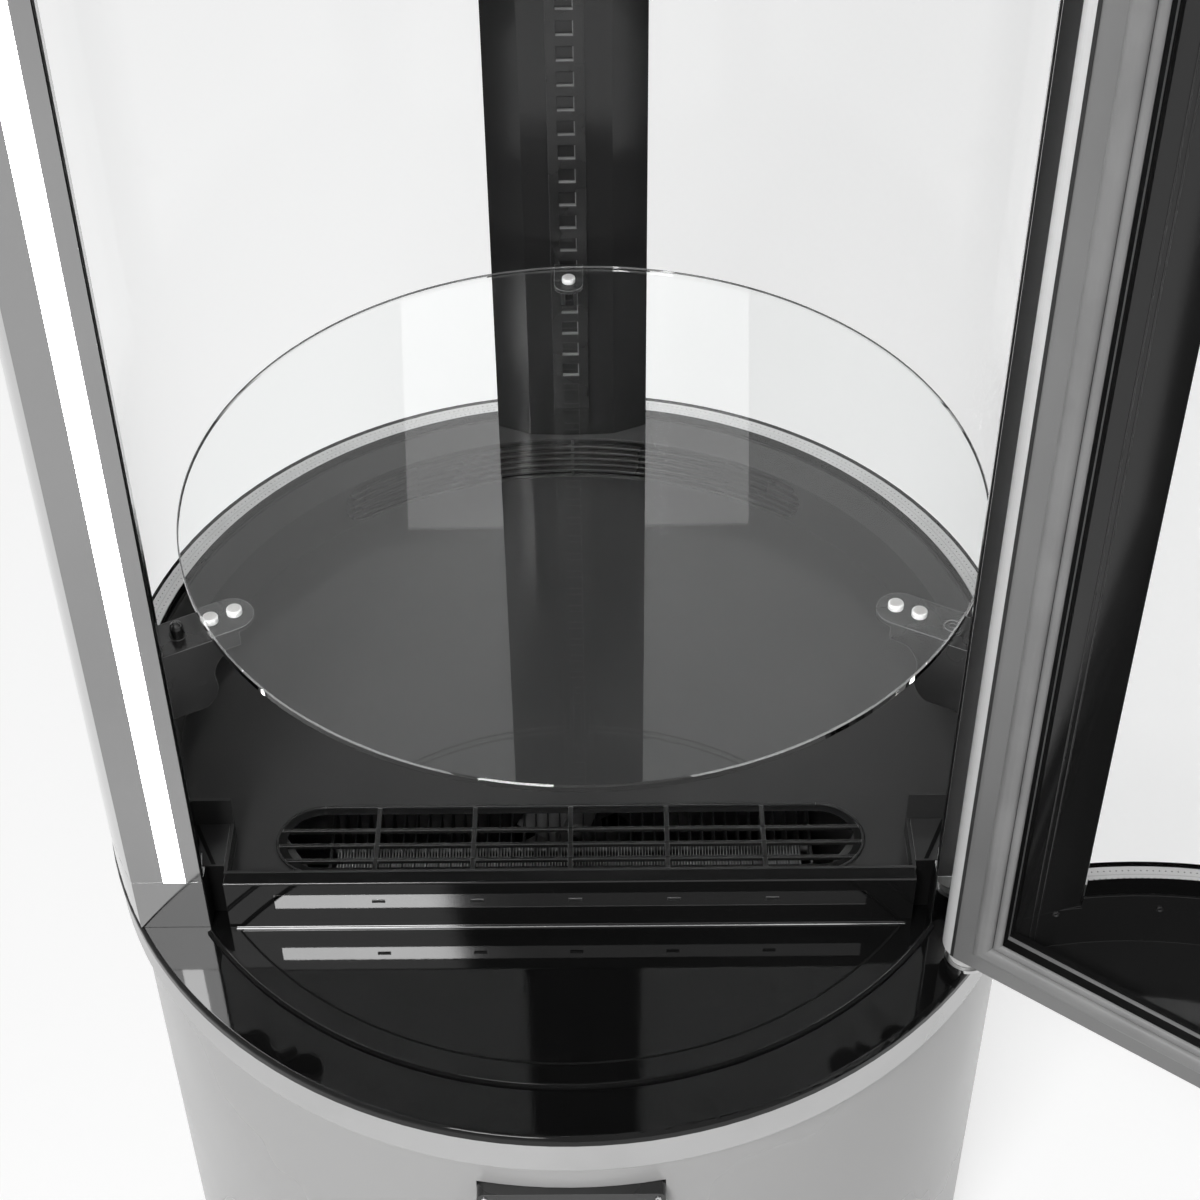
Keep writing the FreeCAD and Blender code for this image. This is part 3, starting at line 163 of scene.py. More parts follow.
def makeHoleGroup():
    tree, given, result = startGroup(
        "spacerHoles",
        [("Centre", "Vector", (0, 0, 0)), ("Radius", "Float", holeForm["radius"]),
         ("Pitch", "Float", holeForm["pitch"])],
        [("Hole", "Float"), ("Line", "Float")])
    place = addNode(tree, "TexCoord").outputs["Object"]
    local = addNode(tree, "VectorMath", {"operation": "SUBTRACT"}, {0: place, 1: given["Centre"]})
    axes = addNode(tree, "SeparateXYZ", None, {0: local.outputs[0]})
    angle = addMath(tree, "ARCTAN2", axes.outputs[1], axes.outputs[0])
    along = addMath(tree, "MULTIPLY", angle, given["Radius"])
    level = addNode(tree, "CombineXYZ", None, {0: axes.outputs[0], 1: axes.outputs[1]})
    across = addNode(tree, "VectorMath", {"operation": "LENGTH"}, {0: level.outputs[0]})
    off = addMath(tree, "SUBTRACT", across.outputs["Value"], given["Radius"])
    step = addMath(tree, "DIVIDE", along, given["Pitch"])
    saw = addMath(tree, "SUBTRACT", addMath(tree, "FRACT", step), 0.5)
    run = addMath(tree, "MULTIPLY", saw, given["Pitch"])
    aside = addMath(tree, "ABSOLUTE", off)
    rowGap = addMath(tree, "SUBTRACT", aside, holeForm["rowOff"])
    runSquare = addMath(tree, "MULTIPLY", run, run)
    gapSquare = addMath(tree, "MULTIPLY", rowGap, rowGap)
    spread = addMath(tree, "SQRT", addMath(tree, "ADD", runSquare, gapSquare))
    tree.links.new(remap(tree, spread, *holeForm["holeEdge"], 1.0, 0.0), result["Hole"])
    tree.links.new(remap(tree, aside, *holeForm["lineEdge"], 1.0, 0.0), result["Line"])
    return tree


skinGroup = makeSkinGroup()
edgeGroup = makeEdgeGroup()
holeGroup = makeHoleGroup()


def useGroup(tree, group, inputs=None):
    made = tree.nodes.new("ShaderNodeGroup")
    made.node_tree = group
    for key, value in (inputs or {}).items():
        made.inputs[key].default_value = value
    return made.outputs


def startMaterial(name):
    material = bpy.data.materials.new(name)
    material.use_nodes = True
    tree = material.node_tree
    return material, tree, tree.nodes["Principled BSDF"]


def addBump(tree, height, strength, distance):
    return addNode(tree, "Bump", None, {"Height": height, "Strength": strength, "Distance": distance})


# one entry per finish: dark and light tone, roughness range, film and grain sizes, bump strength, and for
# most a painted edge highlight tone
finishes = {
    "glossBlackPaint": {"dark": grey(0.004), "light": grey(0.006), "rough": (0.03, 0.06), "film": 5.0,
                        "grain": 900.0, "bump": 0.015, "specular": 0.2, "edge": 0.7, "edgeHighlightTone": grey(0.03),
                        "dust": 0.02},
    "deckBlack": {"dark": grey(0.032), "light": grey(0.039), "rough": (0.16, 0.24), "film": 4.0,
                  "grain": 1600.0, "bump": 0.03, "specular": 0.1, "edge": 0.7, "edgeHighlightTone": grey(0.08),
                  "dust": 0.03},
    "shellBlack": {"dark": grey(0.014), "light": grey(0.02), "rough": (0.05, 0.1), "film": 4.0,
                   "grain": 900.0, "bump": 0.02, "specular": 0.36, "edge": 0.7, "edgeHighlightTone": grey(0.04),
                   "dust": 0.02},
    "columnBlack": {"dark": grey(0.012), "light": grey(0.02), "rough": (0.08, 0.14), "film": 3.0,
                    "grain": 900.0, "bump": 0.02, "specular": 0.4, "edge": 0.7, "edgeHighlightTone": grey(0.05),
                    "dust": 0.02},
    "mirrorBlackPost": {"dark": grey(0.26), "light": grey(0.3), "rough": (0.05, 0.09), "film": 3.0,
                        "grain": 60.0, "stretch": (30, 30, 0.6), "bump": 0.015, "metal": 1.0, "edge": 0.6,
                        "edgeHighlightTone": grey(0.55)},
    "ticketSilver": {"dark": grey(0.78), "light": grey(0.86), "rough": (0.05, 0.09), "film": 9.0,
                     "grain": 140.0, "stretch": (0.4, 8, 8), "bump": 0.015, "metal": 1.0},
    "edgeWhite": {"dark": grey(0.86), "light": grey(0.92), "rough": (0.18, 0.26), "film": 6.0,
                  "grain": 90.0, "stretch": (26, 26, 1), "bump": 0.02, "specular": 0.9},
    "matteBlack": {"dark": grey(0.008), "light": grey(0.012), "rough": (0.55, 0.65), "film": 6.0,
                   "grain": 1200.0, "bump": 0.05, "specular": 0.03},
    "sillBlack": {"dark": grey(0.008), "light": grey(0.011), "rough": (0.03, 0.06), "film": 5.0,
                  "grain": 900.0, "bump": 0.015, "specular": 0.45, "edge": 0.7, "edgeHighlightTone": grey(0.05),
                  "dust": 0.02},
    "grilleBlack": {"dark": grey(0.008), "light": grey(0.014), "rough": (0.26, 0.36), "film": 12.0,
                    "grain": 2600.0, "bump": 0.06, "specular": 0.25, "edge": 0.7, "edgeHighlightTone": grey(0.3),
                    "edgeHighlightMix": 0.8},
    "railBlack": {"dark": grey(0.012), "light": grey(0.02), "rough": (0.16, 0.26), "film": 14.0,
                  "grain": 1500.0, "bump": 0.05, "edge": 0.8, "edgeHighlightTone": grey(0.1)},
    "slotHighlightGrey": {"dark": grey(0.12), "light": grey(0.16), "rough": (0.28, 0.4), "film": 30.0,
                 "grain": 1500.0, "bump": 0.05},
    "bracketBlack": {"dark": grey(0.012), "light": grey(0.02), "rough": (0.2, 0.3), "film": 20.0,
                     "grain": 2200.0, "bump": 0.1, "edge": 0.8, "edgeHighlightTone": grey(0.4), "edgeHighlightMix": 0.7},
    "mouldedBlack": {"dark": grey(0.016), "light": grey(0.026), "rough": (0.22, 0.34), "film": 12.0,
                     "grain": 2600.0, "bump": 0.1, "edge": 0.6, "edgeHighlightTone": grey(0.22)},
    "channelBlack": {"dark": grey(0.016), "light": grey(0.028), "rough": (0.35, 0.5), "film": 9.0,
                     "grain": 1400.0, "bump": 0.1},
    "nylonWhite": {"dark": grey(0.8, 0.01), "light": grey(0.88, 0.006), "rough": (0.32, 0.45), "film": 60.0,
                   "grain": 1800.0, "bump": 0.05, "depth": 4.0, "through": 0.8},
    "brightSteel": {"dark": grey(0.5), "light": grey(0.62), "rough": (0.2, 0.32), "film": 30.0,
                    "grain": 300.0, "stretch": (1, 1, 14), "bump": 0.06, "metal": 1.0},
    "doorGrey": {"dark": grey(0.23), "light": grey(0.265), "rough": (0.3, 0.4), "film": 6.0, "grain": 90.0,
                 "stretch": (26, 26, 1), "bump": 0.05, "edge": 0.8, "edgeHighlightTone": grey(0.34)},
    "gasketGrey": {"dark": grey(0.26), "light": grey(0.31), "rough": (0.36, 0.5), "film": 18.0,
                   "grain": 1300.0, "bump": 0.07},
    "trimSilver": {"dark": grey(0.42), "light": grey(0.5), "rough": (0.26, 0.36), "film": 8.0,
                   "grain": 60.0, "stretch": (1, 1, 40), "bump": 0.05, "metal": 1.0, "edge": 0.6,
                   "edgeHighlightTone": grey(0.8)},
    "bodyWhite": {"dark": grey(0.575, 0.004), "light": grey(0.595, 0.003), "rough": (0.22, 0.32),
                  "film": 4.0, "grain": 520.0, "bump": 0.06, "edge": 0.8, "edgeHighlightTone": grey(0.7)},
    "wellBlack": {"dark": grey(0.018), "light": grey(0.028), "rough": (0.42, 0.56), "film": 8.0,
                  "grain": 1100.0, "bump": 0.1},
    "linerGrey": {"dark": grey(0.26), "light": grey(0.33), "rough": (0.42, 0.56), "film": 8.0,
                  "grain": 1100.0, "bump": 0.1},
    "finAluminium": {"dark": grey(0.6), "light": grey(0.74), "rough": (0.28, 0.4), "film": 24.0,
                     "grain": 700.0, "bump": 0.08, "metal": 1.0},
    # painted shade: the cold coil's aluminium is darkened so the grille slots over it read dark
    "shadedCoilFin": {"dark": grey(0.05), "light": grey(0.08), "rough": (0.42, 0.55), "film": 30.0,
                "grain": 700.0, "bump": 0.08, "metal": 1.0},
    "motorBlack": {"dark": grey(0.02), "light": grey(0.034), "rough": (0.34, 0.46), "film": 12.0,
                   "grain": 900.0, "bump": 0.18},
    "fanGrey": {"dark": grey(0.2), "light": grey(0.27), "rough": (0.38, 0.5), "film": 14.0, "grain": 1600.0,
                "bump": 0.08},
    "mountRubber": {"dark": grey(0.014), "light": grey(0.024), "rough": (0.55, 0.7), "film": 40.0,
                    "grain": 1500.0, "bump": 0.14},
    "keyGrey": {"dark": grey(0.36), "light": grey(0.42), "rough": (0.34, 0.44), "film": 60.0,
                "grain": 3000.0, "bump": 0.07},
}
finishUsual = {"bumpDepth": 0.4 * mm, "edgeHighlightMix": 0.5, "dust": 0.1, "dustTone": grey(0.3), "specular": 0.5}


def makeFinish(name, look):
    material, tree, shader = startMaterial(name)
    skin = useGroup(tree, skinGroup, {"Film Scale": look["film"], "Grain Scale": look["grain"],
                                      "Stretch": look.get("stretch", (1, 1, 1))})
    tone = mixColour(tree, skin["Film"], look["dark"], look["light"])
    bump = addBump(tree, skin["Grain"], look["bump"], finishUsual["bumpDepth"])
    if "edge" in look:
        edge = useGroup(tree, edgeGroup, {"Width": look["edge"] * mm})
        # painted highlight: the edges are mixed towards a lighter tone
        share = addMath(tree, "MULTIPLY", edge["Edge"], look.get("edgeHighlightMix", finishUsual["edgeHighlightMix"]))
        tone = mixColour(tree, share, tone, look["edgeHighlightTone"])
        tree.links.new(edge["Normal"], bump.inputs["Normal"])
    if "metal" not in look:
        share = addMath(tree, "MULTIPLY", skin["Dust"], look.get("dust", finishUsual["dust"]))
        tone = mixColour(tree, share, tone, finishUsual["dustTone"])
    tree.links.new(tone, shader.inputs["Base Color"])
    tree.links.new(remap(tree, skin["Film"], 0, 1, *look["rough"]), shader.inputs["Roughness"])
    tree.links.new(bump.outputs["Normal"], shader.inputs["Normal"])
    shader.inputs["Metallic"].default_value = look.get("metal", 0.0)
    shader.inputs["Specular IOR Level"].default_value = look.get("specular", finishUsual["specular"])
    if "depth" in look:  # light travels a little way through white nylon
        shader.inputs["Subsurface Weight"].default_value = look["through"]
        shader.inputs["Subsurface Radius"].default_value = (1, 1, 1)
        shader.inputs["Subsurface Scale"].default_value = look["depth"] * mm
    return material


finish = {name: makeFinish(name, look) for name, look in finishes.items()}


# clear glass with faint smears: plain for the shelves, coated against reflections for the panes
glassLooks = {"shelfGlass": {"tone": (0.965, 0.975, 0.972, 1), "index": 1.38, "rough": (0.0, 0.004)},
              "paneGlass": {"tone": (0.997, 0.998, 0.998, 1), "index": 1.12, "rough": (0.0, 0.008)}}
smear = {"film": 7.0, "grain": 60.0, "range": (0.2, 1.0)}


def makeGlass(name, look):
    material, tree, shader = startMaterial(name)
    skin = useGroup(tree, skinGroup, {"Film Scale": smear["film"], "Grain Scale": smear["grain"]})
    tree.links.new(remap(tree, skin["Film"], *smear["range"], *look["rough"]), shader.inputs["Roughness"])
    shader.inputs["Base Color"].default_value = look["tone"]
    shader.inputs["IOR"].default_value = look["index"]
    shader.inputs["Transmission Weight"].default_value = 1.0
    return material


# opal plastic: bright strips in the posts, a dim lamp under the canopy
diffuserLooks = {"opalStrip": {"dark": grey(0.86), "light": grey(0.93), "glow": 24.0},
                 "opalLamp": {"dark": grey(0.84), "light": grey(0.9), "glow": 0.5}}
opal = {"film": 18.0, "grain": 1600.0, "bump": 0.06, "bumpDepth": 0.3 * mm, "rough": (0.28, 0.4)}


def makeDiffuser(name, look):
    material, tree, shader = startMaterial(name)
    skin = useGroup(tree, skinGroup, {"Film Scale": opal["film"], "Grain Scale": opal["grain"]})
    tone = mixColour(tree, skin["Film"], look["dark"], look["light"])
    bump = addBump(tree, skin["Grain"], opal["bump"], opal["bumpDepth"])
    tree.links.new(tone, shader.inputs["Base Color"])
    tree.links.new(tone, shader.inputs["Emission Color"])
    tree.links.new(remap(tree, skin["Film"], 0, 1, *opal["rough"]), shader.inputs["Roughness"])
    tree.links.new(bump.outputs["Normal"], shader.inputs["Normal"])
    shader.inputs["Emission Strength"].default_value = look["glow"]
    return material


spacerLook = {"dark": grey(0.52), "light": grey(0.6), "hole": grey(0.05), "rough": (0.3, 0.42), "film": 24.0,
              "grain": 500.0, "stretch": (1, 1, 4), "line": 0.25, "holeDepth": 6.0, "bump": 0.15,
              "bumpDepth": 0.2 * mm, "metal": 0.6}


def makeSpacer(name, centre):
    material, tree, shader = startMaterial(name)
    skin = useGroup(tree, skinGroup, {"Film Scale": spacerLook["film"], "Grain Scale": spacerLook["grain"],
                                      "Stretch": spacerLook["stretch"]})
    holes = useGroup(tree, holeGroup, {"Centre": centre})
    tone = mixColour(tree, skin["Film"], spacerLook["dark"], spacerLook["light"])
    tone = mixColour(tree, holes["Hole"], tone, spacerLook["hole"])
    lineShare = addMath(tree, "MULTIPLY", holes["Line"], spacerLook["line"])
    tone = mixColour(tree, lineShare, tone, spacerLook["hole"])
    sunk = addMath(tree, "MULTIPLY", holes["Hole"], spacerLook["holeDepth"])
    depth = addMath(tree, "SUBTRACT", skin["Grain"], sunk)
    bump = addBump(tree, depth, spacerLook["bump"], spacerLook["bumpDepth"])
    tree.links.new(tone, shader.inputs["Base Color"])
    tree.links.new(remap(tree, skin["Film"], 0, 1, *spacerLook["rough"]), shader.inputs["Roughness"])
    tree.links.new(bump.outputs["Normal"], shader.inputs["Normal"])
    shader.inputs["Metallic"].default_value = spacerLook["metal"]
    return material


zincLook = {"dark": grey(0.4), "light": grey(0.62), "rough": (0.3, 0.5), "flake": 55.0, "flakeShare": 0.65,
            "film": 6.0, "grain": 700.0, "bump": 0.06, "bumpDepth": 0.3 * mm}


def makeZinc():
    material, tree, shader = startMaterial("zincSheet")
    skin = useGroup(tree, skinGroup, {"Film Scale": zincLook["film"], "Grain Scale": zincLook["grain"]})
    place = addNode(tree, "TexCoord").outputs["Object"]
    flakes = addNode(tree, "TexVoronoi", {"feature": "F1"}, {"Vector": place, "Scale": zincLook["flake"]})
    shade = addNode(tree, "SeparateColor", None, {"Color": flakes.outputs["Color"]}).outputs[1]
    flakePart = addMath(tree, "MULTIPLY", shade, zincLook["flakeShare"])
    filmPart = addMath(tree, "MULTIPLY", skin["Film"], 1 - zincLook["flakeShare"])
    mixed = addMath(tree, "ADD", flakePart, filmPart)
    bump = addBump(tree, skin["Grain"], zincLook["bump"], zincLook["bumpDepth"])
    tree.links.new(mixColour(tree, mixed, zincLook["dark"], zincLook["light"]), shader.inputs["Base Color"])
    tree.links.new(remap(tree, mixed, 0, 1, *zincLook["rough"]), shader.inputs["Roughness"])
    tree.links.new(bump.outputs["Normal"], shader.inputs["Normal"])
    shader.inputs["Metallic"].default_value = 1.0
    return material


copperLook = {"bright": (0.75, 0.4, 0.25, 1), "dull": (0.42, 0.2, 0.12, 1), "rough": (0.22, 0.45),
              "film": 26.0, "grain": 800.0, "bump": 0.06, "bumpDepth": 0.3 * mm}


def makeCopper():
    material, tree, shader = startMaterial("copperPipe")
    skin = useGroup(tree, skinGroup, {"Film Scale": copperLook["film"], "Grain Scale": copperLook["grain"]})
    bump = addBump(tree, skin["Grain"], copperLook["bump"], copperLook["bumpDepth"])
    tone = mixColour(tree, skin["Film"], copperLook["bright"], copperLook["dull"])
    tree.links.new(tone, shader.inputs["Base Color"])
    tree.links.new(remap(tree, skin["Film"], 0, 1, *copperLook["rough"]), shader.inputs["Roughness"])
    tree.links.new(bump.outputs["Normal"], shader.inputs["Normal"])
    shader.inputs["Metallic"].default_value = 1.0
    return material


displayLook = {"dark": (0.006, 0.004, 0.004, 1), "light": (0.014, 0.006, 0.006, 1), "rough": (0.04, 0.08),
               "film": 40.0, "grain": 900.0}


def makeDisplay():
    material, tree, shader = startMaterial("displayWindow")
    skin = useGroup(tree, skinGroup, {"Film Scale": displayLook["film"], "Grain Scale": displayLook["grain"]})
    tone = mixColour(tree, skin["Film"], displayLook["dark"], displayLook["light"])
    tree.links.new(tone, shader.inputs["Base Color"])
    tree.links.new(remap(tree, skin["Film"], 0, 1, *displayLook["rough"]), shader.inputs["Roughness"])
    shader.inputs["Coat Weight"].default_value = 1.0
    return material


for glassName, glassLook in glassLooks.items():
    finish[glassName] = makeGlass(glassName, glassLook)
for opalName, opalLook in diffuserLooks.items():
    finish[opalName] = makeDiffuser(opalName, opalLook)
finish["sideSpacer"] = makeSpacer("sideSpacer", (0, 0, 0))
finish["doorSpacer"] = makeSpacer("doorSpacer", tuple(bowCentre))
finish["zincSheet"] = makeZinc()
finish["copperPipe"] = makeCopper()
finish["displayWindow"] = makeDisplay()
print("finishes made:", len(finish))

# which finish each CAD node takes
dressed = {
    "glossBlackPaint": ("base_top",),
    "sillBlack": ("sill",),
    "shellBlack": ("door_shell",),
    "deckBlack": ("deck_pan",),
    "columnBlack": ("rear_column",),
    "mirrorBlackPost": ("posts", "corner_blocks"),
    "railBlack": ("column_rail",),
    "bracketBlack": ("left_brackets", "right_brackets", "rear_brackets", "bracket_screws"),
    "grilleBlack": ("intake_grille",),
    "mouldedBlack": ("air_louvre", "strip_clips", "control_panel"),
    "channelBlack": ("lower_glass_channel", "upper_glass_channel", "mains_inlet"),
    "nylonWhite": ("shelf_bumpers", "hinge_bushes"),
    "brightSteel": ("hinge_brackets", "door_handle"),
    "doorGrey": ("door_frame",),
    "gasketGrey": ("door_gasket",),
    "trimSilver": ("ledge_trim",),
    "bodyWhite": ("base_drum", "front_vent_panel", "rear_vent_panel", "canopy_shell", "canopy_ceiling"),
    "wellBlack": ("cold_well",),
    "linerGrey": ("condensate_tray",),
    "finAluminium": ("condenser",),
    "shadedCoilFin": ("evaporator",),
    "motorBlack": ("compressor", "condenser_fan_motor", "evaporator_fan_motor"),
    "fanGrey": ("condenser_fan", "evaporator_fan"),
    "mountRubber": ("compressor_mounts",),
    "keyGrey": ("button_down", "button_up", "power_switch"),
    "shelfGlass": ("lower_shelf", "upper_shelf"),
    "paneGlass": ("side_glass_left", "side_glass_right", "door_glass"),
    "opalStrip": ("led_strips",),
    "opalLamp": ("canopy_lamp",),
    "ticketSilver": ("ticket_strip",),
    "sideSpacer": ("glass_spacers",),
    "doorSpacer": ("door_spacer",),
    "zincSheet": ("floor_pan", "condenser_fan_shroud", "evaporator_fan_shroud"),
    "copperPipe": ("refrigerant_lines", "filter_drier"),
    "displayWindow": ("control_display",),
}
for finishName, names in dressed.items():
    for name in names:
        nodes[name].data.materials.clear()
        nodes[name].data.materials.append(finish[finishName])
for name in dressed["shelfGlass"]:  # light falls through the shelves onto their bumpers
    nodes[name].visible_shadow = False
plain = sorted(set(nodes) - {name for names in dressed.values() for name in names})
print("CAD nodes dressed, left plain:", plain)


# pieces are drawn in place in a bmesh and ride on a body
def addPiece(name, shape, body, material, swing=None):
    bmesh.ops.remove_doubles(shape, verts=shape.verts, dist=weldGap)
    bmesh.ops.recalc_face_normals(shape, faces=shape.faces)
    if swing is not None:
        bmesh.ops.transform(shape, matrix=swing, verts=shape.verts)
    mesh = bpy.data.meshes.new(name)
    shape.to_mesh(mesh)
    shape.free()
    piece = bpy.data.objects.new(name, mesh)
    bpy.context.scene.collection.objects.link(piece)
    mesh.materials.append(material)
    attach(piece, body)
    return piece


def roundEdges(shape, edges, width, segments=2):
    bmesh.ops.bevel(shape, geom=edges, offset=width, offset_type="OFFSET", affect="EDGES", segments=segments,
                    profile=0.5, material=-1)


# a straight bar by its middle, its three directions and its three sizes
def addBar(shape, middle, along, across, sizes, edge):
    fresh = bmesh.ops.create_cube(shape, size=1.0)["verts"]
    first, second = Vector(along).normalized(), Vector(across).normalized()
    turn = Matrix((first, second, first.cross(second))).transposed().to_4x4()
    place = Matrix.Translation(middle) @ turn @ Matrix.Diagonal((*sizes, 1))
    bmesh.ops.transform(shape, matrix=place, verts=fresh)
    roundEdges(shape, list({line for vert in fresh for line in vert.link_edges}), edge)


# a flat or rounded band round an upright axis
bandSides = 12


def spinBand(shape, radii, levels, angles, steps, centre=(0, 0, 0), rounded=False):
    if rounded:
        flat = bmesh.ops.create_circle(shape, cap_ends=True, segments=bandSides, radius=0.5)["verts"]
    else:
        flat = bmesh.ops.create_grid(shape, x_segments=1, y_segments=1, size=0.5)["verts"]
    place = Matrix.Translation((sum(radii) / 2, 0, sum(levels) / 2))
    section = Matrix.Diagonal((radii[1] - radii[0], levels[1] - levels[0], 1, 1))
    upright = Matrix.Rotation(math.pi / 2, 4, "X") @ section
    turn = Matrix.Translation(centre) @ Matrix.Rotation(math.radians(angles[0]), 4, "Z")
    bmesh.ops.transform(shape, matrix=turn @ place @ upright, verts=flat)
    face = flat[0].link_faces[0]
    bmesh.ops.spin(shape, geom=[face] + list(face.edges) + flat, cent=centre, axis=(0, 0, 1),
                   angle=math.radians(angles[1] - angles[0]), steps=steps)


# a thin level plate by its corners
def addPlate(shape, corners, levels, edge):
    face = shape.faces.new([shape.verts.new((x, y, levels[0])) for x, y in corners])
    raised = bmesh.ops.extrude_face_region(shape, geom=[face], use_keep_orig=True)["geom"]
    upper = [part for part in raised if isinstance(part, bmesh.types.BMVert)]
    bmesh.ops.translate(shape, verts=upper, vec=(0, 0, levels[1] - levels[0]))
    top = next(part for part in raised if isinstance(part, bmesh.types.BMFace))
    roundEdges(shape, list(top.edges), edge)


# screws with a sunk socket, each set on its surface and facing outwards, in shares of height and radius
screwForm = {"sides": 24, "round": 0.35, "roundSteps": 3, "rim": 0.3, "wall": 0.05, "socket": 0.5,
             "rise": 0.45}


def addScrews(name, spots, radius, height, body, material, swing=None):
    pattern = bmesh.new()
    bmesh.ops.create_cone(pattern, cap_ends=True, segments=screwForm["sides"], radius1=radius, radius2=radius,
                          depth=height)
    crown = max(pattern.faces, key=lambda face: face.calc_center_median().z)
    roundEdges(pattern, list(crown.edges), screwForm["round"] * height, screwForm["roundSteps"])
    crown = max(pattern.faces, key=lambda face: (face.calc_center_median().z, face.calc_area()))
    bmesh.ops.inset_region(pattern, faces=[crown], thickness=screwForm["rim"] * radius)
    bmesh.ops.inset_region(pattern, faces=[crown], thickness=screwForm["wall"] * radius,
                           depth=-screwForm["socket"] * height)
    mesh = bpy.data.meshes.new(name + "Pattern")
    pattern.to_mesh(mesh)
    pattern.free()
    shape = bmesh.new()
    for spot, facing in spots:
        before = len(shape.verts)
        shape.from_mesh(mesh)
        shape.verts.ensure_lookup_table()
        turn = Vector(facing).to_track_quat("Z", "Y").to_matrix().to_4x4()
        rise = Matrix.Translation((0, 0, screwForm["rise"] * height))
        bmesh.ops.transform(shape, matrix=Matrix.Translation(spot) @ turn @ rise, verts=shape.verts[before:])
    bpy.data.meshes.remove(mesh)
    addPiece(name, shape, body, material, swing)


# an upright frame round the door opening: growth beyond the opening, width, front and back
def addDoorRing(shape, grow, wide, front, back, edge):
    halfX = door["openingX"] + grow
    low, high = door["openingLow"] - grow, door["openingHigh"] + grow
    flat = bmesh.ops.create_grid(shape, x_segments=1, y_segments=1, size=0.5)["verts"]
    stand = Matrix.Translation((0, front, (low + high) / 2)) @ Matrix.Rotation(math.pi / 2, 4, "X")
    bmesh.ops.transform(shape, matrix=stand @ Matrix.Diagonal((2 * halfX, high - low, 1, 1)), verts=flat)
    middle = flat[0].link_faces[0]
    sides = bmesh.ops.inset_region(shape, faces=[middle], thickness=wide, use_boundary=True,
                                   use_even_offset=True)["faces"]
    bmesh.ops.delete(shape, geom=[middle], context="FACES")
    raised = bmesh.ops.extrude_face_region(shape, geom=sides, use_keep_orig=True)["geom"]
    moved = [part for part in raised if isinstance(part, bmesh.types.BMVert)]
    bmesh.ops.translate(shape, verts=moved, vec=(0, back - front, 0))
    upper = {line for part in raised if isinstance(part, bmesh.types.BMFace) for line in part.edges}
    roundEdges(shape, [line for line in upper if line.calc_face_angle(0) > sharpAngle], edge)


# black lining on the lip of the door frame, a black joint line beside the gasket, and painted shade in the
# groove between its lobes and on the inner side of its inner lobe
doorLines = {"liner": (-0.15 * mm, 1.0 * mm, -187.3 * mm, -182.4 * mm, 0.3 * mm),
             "gasket": ((20.2 * mm, 1.4 * mm, -179.6 * mm, -179.1 * mm, 0.15 * mm),
                        (6.6 * mm, 1.2 * mm, -173.4 * mm, -172.0 * mm, 0.2 * mm),
                        (-0.02 * mm, 0.3 * mm, -179.4 * mm, -173.0 * mm, 0.1 * mm))}


def addDoorLines():
    shape = bmesh.new()
    addDoorRing(shape, *doorLines["liner"])
    addPiece("door_liner", shape, "door", finish["matteBlack"], doorSwing)
    shape = bmesh.new()
    # the outer line is a joint, the groove line and the inner line are painted shade
    for line in doorLines["gasket"]:
        addDoorRing(shape, *line)
    addPiece("gasket_joint_and_shade_lines", shape, "door", finish["matteBlack"], doorSwing)


# black borders on the faces of the panes, from the lips inwards
border = {"inner": (304.6 * mm, 304.75 * mm), "outer": (327.15 * mm, 327.3 * mm),
          "doorFoot": {"inner": (600 * mm, 615 * mm), "outer": (596 * mm, 607.4 * mm)},
          "doorHead": {"inner": (1544 * mm, 1558.8 * mm), "outer": (1548 * mm, 1558.8 * mm)},
          "sideFoot": {"inner": (600 * mm, 608 * mm), "outer": (596 * mm, 604.1 * mm)},
          "sideHead": {"inner": (1576 * mm, 1587.5 * mm), "outer": (1579 * mm, 1587.5 * mm)},
          "doorEnds": (-132.6, -47.4), "sideEnds": ((-20.2, 89.85), (90.15, 200.2)), "steps": 40}


def addBorders():
    shape = bmesh.new()
    for part in ("doorFoot", "doorHead"):
        for face, levels in border[part].items():
            spinBand(shape, border[face], levels, border["doorEnds"], border["steps"])
    addPiece("door_glass_border", shape, "door", finish["glossBlackPaint"], doorSwing)
    shape = bmesh.new()
    for part in ("sideFoot", "sideHead"):
        for face, levels in border[part].items():
            for ends in border["sideEnds"]:
                spinBand(shape, border[face], levels, ends, border["steps"])
    addPiece("side_glass_border", shape, "case", finish["glossBlackPaint"])


# twin seams on the splayed cheeks beside the door glass
seam = {"share": 0.32, "apart": 4.0 * mm, "wide": 1.3 * mm, "proud": 0.4 * mm, "round": 0.15 * mm}


def addSeams():
    shape = bmesh.new()
    lip, edge = Vector((*door["lip"], 0)), Vector((*door["glassEdge"], 0))
    slope = (edge - lip).normalized()
    outward = Vector((slope.y, -slope.x, 0))
    middleZ = (door["deck"] + door["head"]) / 2
    sizes = (seam["wide"], seam["proud"], door["head"] - door["deck"])
    for side in (1, -1):
        for shift in (-0.5, 0.5):
            spot = lip + (edge - lip) * seam["share"]
            spot += slope * seam["apart"] * shift + outward * seam["proud"] / 2
            addBar(shape, (side * spot.x, spot.y, middleZ), (side * slope.x, slope.y, 0),
                   (side * outward.x, outward.y, 0), sizes, seam["round"])
    addPiece("door_seams", shape, "door", finish["mouldedBlack"], doorSwing)


# bright rounded cover on the hinge edge, with a black seal beside it
cover = {"radii": (17.04 * mm, 17.5 * mm), "angles": (-78, 74), "gap": 1.5 * mm, "steps": 20,
         "sealX": 272.0 * mm, "sealWide": 2.2 * mm, "sealProud": 0.5 * mm, "sealRound": 0.2 * mm}


